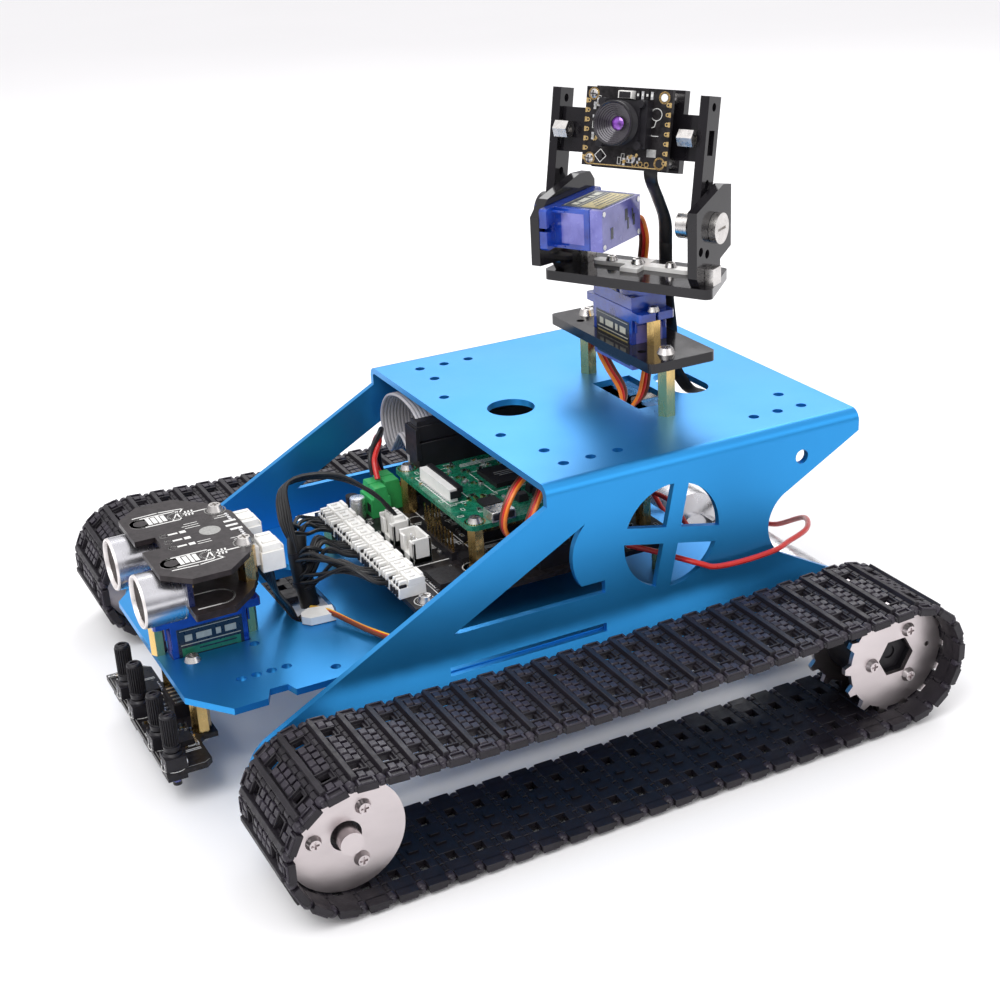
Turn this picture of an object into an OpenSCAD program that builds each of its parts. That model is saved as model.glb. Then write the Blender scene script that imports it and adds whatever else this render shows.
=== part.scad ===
// Tracked robot chassis: a bent aluminium shell on two rubber-style link tracks,
// with a two-axis camera head on the deck and a swivelling sonar head on the nose.
//
// The modules work in an axle frame: X forward, Y left, Z up, zero midway between
// the axles. at_origin() moves every node so that the ground is z = 0 and the
// bounding box is centred on X and Y.

/* [Chassis] */
// Thickness of the bent aluminium sheet
sheet = 2; // [1.8:0.1:2.1]
// Outside width of the upper shell
shell_w = 123.4; // [122:0.2:124]
// Height of the deck's top face above the axles
deck_h = 63.9; // [63:0.1:65]
// Front edge of the deck
deck_front = 8; // [6:0.5:9]
// Rear edge of the deck
deck_rear = -98.5; // [-100:0.5:-97]
// Height of the base plate's top face above the axles
base_h = 15; // [14.8:0.1:15.2]
// Radius of the shell's lobes round the axles
lobe_r = 13.3; // [13:0.1:14]

/* [Tracks] */
// Distance between the sprocket axle and the idler axle
wheelbase = 174.2; // [174:0.1:175]
// Teeth on a drive sprocket
teeth = 14; // [14:2:14]
// Links in one track
links = 56; // [56:2:56]
// Width of a track link
link_w = 36.5; // [35:0.5:37]
// Distance from the centre plane to the middle of a track
track_y = 87.2; // [87:0.1:88]
// Thickness of a link's plate
plate_t = 1.7; // [1.6:0.1:1.8]
// Height of the grouser rib on a link
rib_h = 1.6; // [1.2:0.1:1.6]
// How far the top run hangs in the middle
track_sag = 2.3; // [0:0.1:3]

/* [Wheels] */
// Radius of the smooth idler discs and of the sprocket's tooth roots
disc_r = 16.3; // [15.8:0.1:16.3]
// Radius of the sprocket's tooth tips
tip_r = 18.4; // [18:0.1:18.6]
// Thickness of a wheel disc
disc_t = 1.5; // [1:0.1:1.6]
// Distance between the two discs of a wheel
disc_gap = 17.9; // [17:0.1:18]
// Radius of the circle of wheel screws
screw_circle_r = 8.8; // [8.6:0.1:9]
// Diameter of a gearmotor
motor_d = 25; // [24:0.5:25]

/* [Boards] */
// Length of the computer board
computer_len = 85; // [84:0.5:85]
// Width of the computer board
computer_w = 56; // [55:0.5:56]
// Half the width of the control board
control_half_w = 40; // [38:0.5:40]
// Thickness of every circuit board
pcb_t = 1.6; // [1.2:0.1:1.6]

/* [Heads] */
// Angle of the camera head about its pan axis
pan_angle = 30; // [0:1:60]
// Backward lean of the camera arms
tilt_angle = 12; // [0:1:15]
// Width of the turntable plate that carries the camera fork
fork_w = 54; // [54:0.5:56]
// Thickness of the fork's plates
acrylic_t = 3; // [2.8:0.1:3]

/* [Hidden] */
$fn = 48;

pitch = 2 * wheelbase / (links - teeth);
half_wb = wheelbase / 2;
wrap = 360 / teeth;
hinge_r = pitch / (2 * sin(wrap / 2));
ground_drop = hinge_r + rib_h;
body_shift_x = 4;
wrap_links = teeth / 2;
run_links = (links - teeth) / 2;

half_shell = shell_w / 2;
wall_in = half_shell - sheet;
bend_r = 3.5;
slack = 0.05;
far = 240;

screw_d = 3;
small_screw_d = 2.5;
axle_d = 6.4;
shaft_d = 4;

outer_disc_y = track_y + disc_gap / 2;
inner_disc_y = track_y - disc_gap / 2;
shell_blue = [0.16, 0.55, 0.82];
board_black = [0.05, 0.05, 0.06];
brass_gold = [0.78, 0.62, 0.3];
servo_blue = [0.1, 0.2, 0.75];
steel_grey = [0.78, 0.78, 0.8];
connector_white = [0.93, 0.93, 0.9];

deck_holes = [[-4.6, 48.9], [-13.4, 48.9], [-22.3, 48.9], [-4.6, 37.4], [0.4, 19.6],
              [-86.6, 48.9], [-78, 48.9], [-69.4, 48.9], [-86.6, 37.4]];
nose_holes = [[91, 32.3], [86.5, 32.3], [82, 32.3], [77.5, 32.3], [65.6, 39.9], [80.9, 14.5]];

control_x0 = -50;
control_x1 = 40;
board_posts = [[-45, 35], [35.5, 36.5]];
computer_posts = [[12.7, 24.5], [-45.3, 24.5]];
control_top = 26;
computer_x1 = 16.2;
computer_x0 = computer_x1 - computer_len;
computer_top = 40.8;

sonar_x = 87.1;
sonar_y = 5;
sonar_servo_x = sonar_x + 5.5;
sonar_plate_z = 36;
sonar_deck_z = 47.5;
can_z = 39.4;
can_d = 15.5;

mast_x = -49.3;
mast_y = 8.8;
mast_plate_z = 80.3;
pan_flange_z = 90.6;
pan_x = -51;
pan_y = mast_y + 5.5;
fork_z = 102;
tilt_z = 21;
sensor_z = -8;

// ---------- shared shapes ----------

module at_origin() { translate([-body_shift_x, 0, ground_drop]) children(); }

module block(a, b) { translate(a) cube(b - a); }

module post(x, y, z, d, h) { translate([x, y, z]) cylinder(d = d, h = h); }

module rod_y(x, z, d, y0, y1) { translate([x, y0, z]) rotate([-90, 0, 0]) cylinder(d = d, h = y1 - y0); }

module rod_x(y, z, d, x0, x1) { translate([x0, y, z]) rotate([0, 90, 0]) cylinder(d = d, h = x1 - x0); }

module hex_post(x, y, z, across, h, hole) {
    translate([x, y, z]) difference() {
        cylinder(d = across / cos(30), h = h, $fn = 6);
        translate([0, 0, -1]) cylinder(d = hole, h = h + 2);
    }
}

// A pan-head screw standing on z = 0 with its shank below and a cross recess.
module pan_screw(d, len, head_d = 5, head_h = 1.6) {
    difference() {
        union() {
            cylinder(d1 = head_d, d2 = head_d * 0.7, h = head_h);
            translate([0, 0, -len]) cylinder(d = d, h = len + 0.2);
        }
        for (a = [0, 90]) rotate(a) translate([-head_d / 4, -0.3, head_h - 0.7]) cube([head_d / 2, 0.6, 1]);
    }
}

module both_sides() { children(); mirror([0, 1, 0]) children(); }

// A flat outline in X and Z, grown along Y from y0 to y1.
module side_plate(y0, y1) { translate([0, y1, 0]) rotate([90, 0, 0]) linear_extrude(y1 - y0) children(); }

module rounded_rect(w, h, r) {
    union() {
        square([w - 2 * r, h], center = true);
        square([w, h - 2 * r], center = true);
        for (sx = [-1, 1], sy = [-1, 1]) translate([sx * (w / 2 - r), sy * (h / 2 - r)]) circle(r);
    }
}

// ---------- swept wires ----------

wire_sides = 6;

function spline_point(p, i, t) =
    let (n = len(p) - 1, a = p[max(i - 1, 0)], b = p[i], c = p[min(i + 1, n)], d = p[min(i + 2, n)])
    0.5 * (2 * b + (c - a) * t + (2 * a - 5 * b + 4 * c - d) * t * t + (3 * b - a - 3 * c + d) * t * t * t);

function spline(p, steps) = concat([for (i = [0 : len(p) - 2], k = [0 : steps - 1]) spline_point(p, i, k / steps)],
                                   [p[len(p) - 1]]);

function unit(v) = v / norm(v);

function tangent(q, i) = unit(q[min(i + 1, len(q) - 1)] - q[max(i - 1, 0)]);

// Carries one side vector along the path, so that the tube never twists.
function side_vectors(q, i = 0, acc = []) =
    i == len(q) ? acc
    : let (t = tangent(q, i), s = i == 0 ? (abs(t[2]) > 0.9 ? [1, 0, 0] : [0, 0, 1]) : acc[i - 1])
      side_vectors(q, i + 1, concat(acc, [unit(s - (s * t) * t)]));

module sweep(q, width, height, sides) {
    s = side_vectors(q);
    rings = [for (i = [0 : len(q) - 1], k = [0 : sides - 1])
             let (a = 360 * (k + 0.5) / sides, t = tangent(q, i))
             q[i] + s[i] * (height / 2 * cos(a)) + cross(t, s[i]) * (width / 2 * sin(a))];
    last = len(q) - 1;
    polyhedron(rings, concat(
        [[for (k = [0 : sides - 1]) k]],
        [for (i = [0 : last - 1], k = [0 : sides - 1])
         let (k2 = (k + 1) % sides) [i * sides + k, (i + 1) * sides + k, (i + 1) * sides + k2, i * sides + k2]],
        [[for (k = [sides - 1 : -1 : 0]) last * sides + k]]));
}

module wire(points, d, steps = 3) { sweep(spline(points, steps), d, d, wire_sides); }

// ---------- frame ----------

module wall_outline() {
    bite_r = 11.5;
    bite_x = -77.6;
    bite_z = 33.2;
    difference() {
        polygon([[deck_rear, deck_h + 1], [deck_front, deck_h + 1], [deck_front, 57.8],
                 [half_wb + 6.3, 11.7], [half_wb + 4, -4], [-half_wb - 4, -4], [-half_wb - 6.3, 11.7],
                 [bite_x + 5.4, bite_z - 10.1], [bite_x + 5.4, bite_z + 10.1], [deck_rear, 57.4]]);
        translate([bite_x, bite_z]) circle(bite_r);
        translate([-77.8, 53.5]) circle(d = 4.4);
        front_window();
        round_window();
        translate([-10, 14.5]) square([50, 2.8]);
        for (x = [-50, 0, 50]) translate([x, 7]) circle(d = screw_d + 0.2);
    }
}

// The same outline grown right across the body, with a lobe and a hole at each axle.
module wall_solid() {
    difference() {
        union() {
            side_plate(-half_shell, half_shell) wall_outline();
            for (s = [-1, 1]) rod_y(s * half_wb, 0, 2 * lobe_r, -half_shell, half_shell);
        }
        rod_y(half_wb, 0, axle_d + 0.2, -far, far);
        rod_y(-half_wb, 0, 9, -far, far);
        for (a = [45 : 90 : 315])
            rod_y(-half_wb + 8.5 * cos(a), 8.5 * sin(a), screw_d + 0.2, -far, far);
    }
}

module front_window() {
    difference() {
        polygon([[-9.8, 27], [38.6, 27.1], [-11.3, 54.1], [-14, 54.1], [-14, 31], [-9.8, 31]]);
        translate([-14.5, 39.5]) circle(15);
    }
    translate([-9.8, 27]) square([10, 4]);
}

// Plain round window with four openings left by two crossed spokes.
module round_window() {
    translate([-32.4, 39.4]) difference() {
        circle(16.1);
        rotate(12) square([40, 5], center = true);
        rotate(102) square([40, 5], center = true);
    }
}

module shell_section(w, top, r) {
    square([w, 2 * (top - r)], center = true);
    square([w - 2 * r, 2 * top], center = true);
    for (s = [-1, 1], t = [-1, 1]) translate([s * (w / 2 - r), t * (top - r)]) circle(r);
}

module upper_shell() {
    color(shell_blue) at_origin() difference() {
        intersection() {
            rotate([90, 0, 90]) linear_extrude(far, center = true) difference() {
                shell_section(shell_w, deck_h, bend_r);
                shell_section(shell_w - 2 * sheet, deck_h - sheet, bend_r - sheet);
                translate([-far / 2, -far]) square([far, far - 20]);
            }
            wall_solid();
        }
        both_sides() for (p = deck_holes) post(p[0], p[1], deck_h - 5, 3.2, 10);
        post(-12.9, 0.5, deck_h - 5, 14.8, 10);
        for (y = [6, 16]) post(-68, y, deck_h - 5, 12, 10);
        block([-74, 6, deck_h - 5], [-62, 16, deck_h + 5]);
        block([-58, -4, deck_h - 5], [-44.5, 24, deck_h + 5]);
        for (s = [-1, 1]) post(mast_x, mast_y + s * 23.5, deck_h - 5, 3.2, 10);
    }
}

module base_outline() {
    nose = [[60, wall_in - 0.1], [67, 46], [79.7, 46], [80.8, 42], [86, 42], [88.2, 46.8], [98, 47], [108, 34]];
    rear_x = -68;
    polygon(concat([[rear_x, wall_in - 0.1]], nose,
                   [for (i = [len(nose) - 1 : -1 : 0]) [nose[i][0], -nose[i][1]]], [[rear_x, -wall_in + 0.1]]));
}

module base_plate() {
    flange_z = 1;
    color(shell_blue) at_origin() difference() {
        union() {
            translate([0, 0, base_h - sheet]) linear_extrude(sheet) base_outline();
            both_sides() block([-60, wall_in - 0.1 - sheet, flange_z], [56, wall_in - 0.1, base_h - sheet]);
        }
        both_sides() for (p = nose_holes) post(p[0], p[1], 5, 3, 20);
        both_sides() for (x = [-50, 0, 50]) rod_y(x, 7, screw_d + 0.2, wall_in - 5, wall_in + 5);
        both_sides() post(99.5, 14.4, 5, 3.2, 20);
        both_sides() for (p = board_posts) post(p[0], p[1], 5, 3.2, 20);
        for (s = [-1, 1]) post(sonar_servo_x + s * 14, sonar_y, 5, 2.2, 20);
        block([sonar_servo_x - 11.8, sonar_y - 6.5, 5], [sonar_servo_x + 11.8, sonar_y + 6.5, 25]);
        block([52, -26, 5], [66, 5, 25]);
        for (y = [-26, 5]) post(59, y, 5, 14, 20);
    }
}

module shell_screws() {
    color(steel_grey) at_origin() both_sides() for (x = [-50, 0, 50])
        translate([x, half_shell + slack, 7]) rotate([-90, 0, 0]) pan_screw(screw_d, 6);
}

module shell_nuts() {
    color(steel_grey) at_origin() both_sides() for (x = [-50, 0, 50])
        translate([x, wall_in - 0.1 - sheet - 2.4 - slack, 7]) rotate([-90, 0, 0]) difference() {
            cylinder(d = 6.2, h = 2.4, $fn = 6);
            translate([0, 0, -1]) cylinder(d = screw_d + 0.1, h = 5);
        }
}

// ---------- drive ----------

module gearmotor() {
    face = wall_in - slack;
    tail = 10.5;
    rod_y(-half_wb, 0, motor_d, face - 21, face);
    rod_y(-half_wb, 0, motor_d - 0.6, tail + 2, face - 21);
    rod_y(-half_wb, 0, 10, tail, tail + 2);
    for (s = [-1, 1]) block([-half_wb - 1 + s * 7, tail - 2, -2], [-half_wb + 1 + s * 7, tail + 2, 2]);
}

module bored_gearmotor() {
    difference() {
        gearmotor();
        rod_y(-half_wb, 0, 8.4, wall_in - 12, wall_in + 1);
        for (a = [45 : 90 : 315]) rod_y(-half_wb + 8.5 * cos(a), 8.5 * sin(a), screw_d + 0.1, wall_in - 6, far);
    }
}

module gearmotor_left() { color(steel_grey) at_origin() bored_gearmotor(); }

module gearmotor_right() { color(steel_grey) at_origin() mirror([0, 1, 0]) bored_gearmotor(); }

module motor_screws() {
    color(steel_grey) at_origin() both_sides() for (a = [45 : 90 : 315])
        translate([-half_wb + 8.5 * cos(a), half_shell + slack, 8.5 * sin(a)]) rotate([-90, 0, 0])
            pan_screw(screw_d, 5.5, 5, 1.6);
}

module sprocket_outline() {
    difference() {
        union() {
            circle(disc_r);
            for (i = [0 : teeth - 1]) rotate(i * wrap)
                polygon([[disc_r - 1, -1.9], [disc_r, -1.7], [tip_r, -0.9], [tip_r, 0.9], [disc_r, 1.7], [disc_r - 1, 1.9]]);
        }
        circle(r = 6.3, $fn = 6);
        wheel_screw_holes(-3);
        rotate(175) translate([11.4, 0]) circle(d = 1.6);
    }
}

module wheel_screw_holes(turn) {
    for (a = [0, 120, 240]) rotate(turn + a) translate([screw_circle_r, 0]) circle(d = small_screw_d + 0.1);
}

module disc_pair(x) {
    translate([x, 0, 0]) for (y = [inner_disc_y, outer_disc_y]) side_plate(y - disc_t / 2, y + disc_t / 2) children();
}

module wheel_screws(x, turn) {
    for (a = [0, 120, 240]) {
        at = [x + screw_circle_r * cos(turn + a), screw_circle_r * sin(turn + a)];
        translate([at[0], outer_disc_y + disc_t / 2 + slack, at[1]]) rotate([-90, 0, 0])
            pan_screw(small_screw_d, 9, 4.4, 1.4);
    }
}

// A drum that holds the two discs apart, with screw holes and a middle bore.
module wheel_drum(x, turn, bore_d, bore_sides) {
    inner = inner_disc_y + disc_t / 2 + slack;
    outer = outer_disc_y - disc_t / 2 - slack;
    translate([x, 0, 0]) side_plate(inner, outer) difference() {
        circle(r = 11.6);
        circle(d = bore_d, $fn = bore_sides);
        wheel_screw_holes(turn);
    }
}

module drive_shaft() {
    rod_y(-half_wb, 0, shaft_d, wall_in - 11, outer_disc_y - 3);
    rod_y(-half_wb, 0, 8.3, wall_in - 11, half_shell + 2);
}

// Hexagon coupler: a brass hexagon with a bore that takes the motor shaft.
module shaft_coupler() {
    translate([-half_wb, 0, 0]) side_plate(inner_disc_y - 2, outer_disc_y - 2.5) difference() {
        circle(r = 6.2, $fn = 6);
        circle(d = shaft_d + 0.1);
    }
}

module sprocket_left() { color(steel_grey) at_origin() disc_pair(-half_wb) sprocket_outline(); }

module sprocket_right() { color(steel_grey) at_origin() mirror([0, 1, 0]) disc_pair(-half_wb) sprocket_outline(); }

module sprocket_drum_left() { color("black") at_origin() wheel_drum(-half_wb, -3, 12.6, 6); }

module sprocket_drum_right() { color("black") at_origin() mirror([0, 1, 0]) wheel_drum(-half_wb, -3, 12.6, 6); }

module drive_shaft_left() { color(steel_grey) at_origin() drive_shaft(); }

module drive_shaft_right() { color(steel_grey) at_origin() mirror([0, 1, 0]) drive_shaft(); }

module shaft_coupler_left() { color(brass_gold) at_origin() shaft_coupler(); }

module shaft_coupler_right() { color(brass_gold) at_origin() mirror([0, 1, 0]) shaft_coupler(); }

module sprocket_screws_left() { color(steel_grey) at_origin() wheel_screws(-half_wb, -3); }

module sprocket_screws_right() { color(steel_grey) at_origin() mirror([0, 1, 0]) wheel_screws(-half_wb, -3); }

module idler_outline() {
    difference() {
        circle(disc_r);
        circle(d = 8.6);
        wheel_screw_holes(6);
    }
}

module idler_left() { color(steel_grey) at_origin() disc_pair(half_wb) idler_outline(); }

module idler_right() { color(steel_grey) at_origin() mirror([0, 1, 0]) disc_pair(half_wb) idler_outline(); }

module idler_drum_left() { color("black") at_origin() wheel_drum(half_wb, 6, 12.1, 48); }

module idler_drum_right() { color("black") at_origin() mirror([0, 1, 0]) wheel_drum(half_wb, 6, 12.1, 48); }

module idler_screws_left() { color(steel_grey) at_origin() wheel_screws(half_wb, 6); }

module idler_screws_right() { color(steel_grey) at_origin() mirror([0, 1, 0]) wheel_screws(half_wb, 6); }

// Two plain bushes pressed into the drum's bore.
module idler_bushes() {
    inner = inner_disc_y + disc_t / 2 + slack;
    outer = outer_disc_y - disc_t / 2 - slack;
    for (y = [inner, outer - 5]) difference() {
        rod_y(half_wb, 0, 12, y, y + 5);
        rod_y(half_wb, 0, axle_d + 0.1, y - 1, y + 6);
    }
}

module idler_bushes_left() { color(brass_gold) at_origin() idler_bushes(); }

module idler_bushes_right() { color(brass_gold) at_origin() mirror([0, 1, 0]) idler_bushes(); }

module idler_axle() {
    rod_y(half_wb, 0, axle_d, wall_in - 5, outer_disc_y + 5);
    rod_y(half_wb, 0, 11, wall_in - 5, wall_in - slack);
    rod_y(half_wb, 0, 9, half_shell + slack, inner_disc_y - 3);
}

module idler_axle_left() { color(steel_grey) at_origin() idler_axle(); }

module idler_axle_right() { color(steel_grey) at_origin() mirror([0, 1, 0]) idler_axle(); }

// ---------- tracks ----------

// Hinge points round the loop, starting at the top of the sprocket and going over its rear.
function hinge_point(i) =
    let (n = i % links, down = n - wrap_links, front = n - wrap_links - run_links, back = front - wrap_links)
    n <= wrap_links ? [-half_wb + hinge_r * cos(90 + n * wrap), hinge_r * sin(90 + n * wrap)]
    : down <= run_links ? [-half_wb + down * pitch, -hinge_r]
    : front <= wrap_links ? [half_wb + hinge_r * cos(-90 + front * wrap), hinge_r * sin(-90 + front * wrap)]
    : let (u = back / run_links) [half_wb - back * pitch, hinge_r - 4 * track_sag * u * (1 - u)];

// One link lies along X with its outer face up: a plate with four windows and a grouser rib.
module track_link() {
    plate_len = pitch - 1;
    win = [4.4, 3.6];
    difference() {
        union() {
            block([-plate_len / 2, -link_w / 2, -plate_t], [plate_len / 2, link_w / 2, 0]);
            block([-plate_len / 2, -link_w / 2, 0], [-plate_len / 2 + 2, link_w / 2, rib_h]);
        }
        for (s = [-1, 1]) translate([-win[0] / 2 + 0.4, s * disc_gap / 2 - win[1] / 2, -5]) cube([win[0], win[1], 10]);
    }
}

module track_loop() {
    translate([0, track_y, 0]) for (i = [0 : links - 1]) {
        a = hinge_point(i);
        b = hinge_point(i + 1);
        d = b - a;
        translate([(a[0] + b[0]) / 2, 0, (a[1] + b[1]) / 2]) rotate([0, -atan2(d[1], d[0]), 0])
            rotate([180, 0, 0]) track_link();
    }
}

module track_left() { color("dimgray") at_origin() track_loop(); }

module track_right() { color("dimgray") at_origin() mirror([0, 1, 0]) track_loop(); }

// ---------- power ----------

module battery_pack() {
    cell_d = 18.6;
    color("royalblue") at_origin() union() {
        for (x = [-19, 0, 19]) rod_y(x - 5, base_h - sheet - cell_d / 2 - slack, cell_d, -34, 34);
        block([-24, -34, base_h - sheet - cell_d * 0.75], [14, 34, base_h - sheet - cell_d * 0.25]);
    }
}

module battery_strap() {
    top = base_h - sheet - slack;
    color("black") at_origin() difference() {
        block([-35, -10, -8], [25, 10, top]);
        block([-33.9, -11, -6.6], [23.9, 11, top + 1]);
    }
}

module motor_wires() {
    paths = [
        [[-80, 7, 1], [-75.5, 3, 9], [-71.5, -4, 17.5], [-62, -16, 21], [-54, -26, 27.5], [-47.5, -30, 29]],
        [[-94, 7, 2], [-99.5, 9, 6], [-100, 20, 10], [-97, 38, 20], [-86, 54, 25], [-74, 61, 26.4], [-67, 64, 26.6],
         [-56, 64, 26], [-46, 63.8, 26.6], [-42, 62.6, 28], [-38.5, 59.5, 29], [-34, 50, 29], [-30, 40.5, 28.4]],
        [[-80, -7, 1], [-75.5, -12, 9], [-71.5, -18, 17.5], [-60, -30, 22], [-54, -34, 27.5], [-47.5, -37.5, 29.4]],
        [[-94, -7, 1], [-99.5, -9, 5], [-100, -18, 9], [-89, -30, 16], [-74, -38, 19], [-58, -44, 23],
         [-50, -45, 27.5], [-46.5, -41, 29.4]]];
    color("firebrick") at_origin() for (p = paths) wire(p, 1.8);
}

module power_wires() {
    color("firebrick") at_origin() for (k = [0, 1])
        wire([[21, -34 + 4 * k, 37], [20, -37 + 3 * k, 43 - k], [14 + k, -43 + 2 * k, 47 - 2 * k],
              [10.5 + 2.2 * k, -50 + k, 45 - 1.5 * k], [10.5 + 2.2 * k, -54.2 + k, 36], [8 + k, -55 + 1.8 * k, 26],
              [-4, -55 + 2.2 * k, 20], [-30, -55 + 2.2 * k, 18.4], [-58, -52 + 2.2 * k, 18.4],
              [-68, -50 + 2.2 * k, 18.4], [-75, -46 + 2.2 * k, 14], [-72.5, -41 + 2.2 * k, 7.5],
              [-62, -36 + 2.2 * k, 5], [-44, -30 + 2.2 * k, 5], [-34.4, -28 + 2.2 * k, 4.4]], 1.8);
}

// ---------- boards ----------

module control_board() {
    color(board_black) at_origin() difference() {
        block([control_x0, -control_half_w, control_top - pcb_t], [control_x1, control_half_w, control_top]);
        both_sides() for (p = board_posts) post(p[0], p[1], 20, 3.2, 10);
        both_sides() for (p = computer_posts) post(p[0], p[1], 20, 2.8, 10);
    }
}

module board_standoffs() {
    color(brass_gold) at_origin() both_sides() for (p = board_posts)
        hex_post(p[0], p[1], base_h, 5.5, control_top - pcb_t - base_h, 2.6);
}

module board_screws() {
    color(steel_grey) at_origin() both_sides() for (p = board_posts)
        translate([p[0], p[1], control_top]) pan_screw(2.4, 6, 5, 1.8);
}

module plug_row() {
    count = 9;
    step = 7.2;
    color(connector_white) at_origin() for (i = [0 : count - 1])
        translate([33, (i - count / 2) * step, control_top]) difference() {
            block([0, 0, 0], [9, step - 0.3, 5.6]);
            block([3, 1, 4], [8, step - 1.3, 6]);
            for (k = [0 : 2]) block([8, 1 + k * 2, 1], [10, 2.2 + k * 2, 3]);
        }
}

module plug_pair() {
    color(connector_white) at_origin() for (y = [-12, 3])
        translate([22.5, y, control_top]) difference() {
            block([0, 0, 0], [6, 10.5, 8]);
            block([1, 1, 5], [5, 9.5, 9]);
        }
}

module screw_terminals() {
    color("green") at_origin() for (i = [0, 1])
        translate([13 + i * 6, -38.5 + i * 3.5, control_top]) difference() {
            union() { block([0, 0, 0], [7.6 - i, 10, 7.5]); block([1, 0, 7.5], [6, 10, 10]); }
            for (y = [2.6, 7.4]) post(3.5, y, 6, 3.2, 5);
        }
}

module control_chips() {
    color([0.1, 0.1, 0.11]) at_origin() {
        block([-4, -30, control_top], [8, -21, control_top + 2]);
        block([-12, 30, control_top], [-2, 37, control_top + 6]);
        block([20, 22, control_top], [29, 33, control_top + 1.8]);
        block([-26, 28, control_top], [-14, 36, control_top + 2.2]);
        block([-40, -20, control_top], [-28, -8, control_top + 2.2]);
        for (y = [-8, -4]) block([16, y, control_top], [18.5, y + 2.5, control_top + 6]);
        post(29, -29, control_top, 5, 7);
        block([-25, 4, control_top], [5, 9, control_top + 8.4]);
    }
}

module computer_standoffs() {
    low = control_top;
    color(brass_gold) at_origin() both_sides() for (p = computer_posts)
        hex_post(p[0], p[1], low, 4.6, computer_top - pcb_t - low, 2.4);
}

module computer_board() {
    color([0.05, 0.4, 0.25]) at_origin() difference() {
        translate([(computer_x0 + computer_x1) / 2, 0, computer_top - pcb_t]) linear_extrude(pcb_t)
            rounded_rect(computer_len, computer_w, 3);
        both_sides() for (p = computer_posts) post(p[0], p[1], 30, 2.8, 20);
    }
}

module computer_screws() {
    color(steel_grey) at_origin() both_sides() for (p = computer_posts)
        translate([p[0], p[1], computer_top]) pan_screw(2.3, 6, 4.6, 1.5);
}

module computer_ports() {
    color(steel_grey) at_origin() {
        for (y = [-19, -1]) block([computer_x0 - 2, y, computer_top], [computer_x0 + 15, y + 13, computer_top + 15]);
        block([computer_x0 - 2, 16.5, computer_top], [computer_x0 + 19, 27, computer_top + 13]);
        block([-34, 20, computer_top], [-19, 29, computer_top + 6]);
        block([1, 22.5, computer_top], [9, 29, computer_top + 3]);
    }
}

module computer_chips() {
    color([0.08, 0.08, 0.09]) at_origin() {
        block([-18, -8, computer_top], [-4, 6, computer_top + 1.4]);
        block([-38, -6, computer_top], [-26, 6, computer_top + 1.2]);
        block([0, 12, computer_top], [6, 18, computer_top + 1]);
        block([8, -14, computer_top], [10.4, 8, computer_top + 4.4]);
    }
}

module display_socket() {
    color(connector_white) at_origin() block([10.4, -14, computer_top], [13, 8, computer_top + 4]);
}

module header_socket() {
    color("black") at_origin() {
        difference() {
            block([-42.5, -29, computer_top], [9.8, -21.2, computer_top + 14]);
            block([-40, -30, computer_top + 8], [7, -28.4, computer_top + 10.4]);
        }
        block([-41, -37, control_top], [9, -31.5, control_top + 5]);
    }
}

// Closed outline of a flat strip that follows a smooth path at thickness t.
module strip_section(points, t) {
    q = spline([for (p = points) [p[0], p[1], 0]], 4);
    side = [for (i = [0 : len(q) - 1]) let (d = tangent(q, i)) [-d[1], d[0]] * (t / 2)];
    polygon(concat([for (i = [0 : len(q) - 1]) [q[i][0], q[i][1]] + side[i]],
                   [for (i = [len(q) - 1 : -1 : 0]) [q[i][0], q[i][1]] - side[i]]));
}

module ribbon_cable() {
    path = [[-25, 55.4], [-30, 58.4], [-40, 59.6], [-50, 56.5], [-55.5, 49], [-54.5, 41], [-50, 37.5], [-45, 42],
            [-41, 46], [-36, 43], [-34.4, 37], [-34.2, 31.6]];
    color("silver") at_origin() translate([-40, 0, 0]) rotate([90, 0, 90]) linear_extrude(48) strip_section(path, 1);
}

// ---------- line sensor ----------

module sensor_board() {
    color(board_black) at_origin() translate([0, 0, sensor_z - pcb_t]) linear_extrude(pcb_t) difference() {
        polygon([[101.8, -30.6], [103.8, -32.6], [115.6, -32.6], [115.6, 32.6], [103.8, 32.6], [101.8, 30.6],
                 [101.8, 19.5], [100, 17.7], [95.8, 17.7], [95.8, -17.7], [100, -17.7], [101.8, -19.5]]);
        for (s = [-1, 1]) translate([99.5, s * 14.4]) circle(d = 3.2);
    }
}

module sensor_standoffs() {
    color(brass_gold) at_origin() both_sides()
        hex_post(99.5, 14.4, sensor_z, 5, base_h - sheet - sensor_z, 2.6);
}

module sensor_screws() {
    color(steel_grey) at_origin() both_sides() translate([99.5, 14.4, 0]) {
        translate([0, 0, base_h]) pan_screw(2.5, 6, 5, 1.6);
        translate([0, 0, sensor_z - pcb_t]) rotate([180, 0, 0]) pan_screw(2.5, 5, 5, 1.6);
    }
}

knob_places = [-17.7, -4.5, 16.1, 29.4];
knob_x = 112.4;

module trimmer_bodies() {
    color("black") at_origin() for (y = knob_places) difference() {
        union() {
            block([knob_x - 3, y - 3.1, sensor_z], [knob_x + 3, y + 3.1, sensor_z + 4]);
            post(knob_x, y, sensor_z + 4, 3.4, 1);
        }
        post(knob_x, y, sensor_z + 0.5, 2.1, 8);
    }
}

module trimmer_knob(i) {
    color([0.07, 0.07, 0.07]) at_origin() translate([knob_x, knob_places[i], 0]) {
        post(0, 0, sensor_z + 1, 2, 5.4);
        difference() {
            union() {
                post(0, 0, sensor_z + 5.4, 4.6, 11.6);
                for (a = [0 : 40 : 320]) rotate(a) block([1.8, -0.3, sensor_z + 8], [2.6, 0.3, sensor_z + 17]);
            }
            block([-1.6, -0.4, sensor_z + 16.2], [1.6, 0.4, sensor_z + 18]);
        }
    }
}

module trimmer_knob_1() { trimmer_knob(0); }

module trimmer_knob_2() { trimmer_knob(1); }

module trimmer_knob_3() { trimmer_knob(2); }

module trimmer_knob_4() { trimmer_knob(3); }

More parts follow.
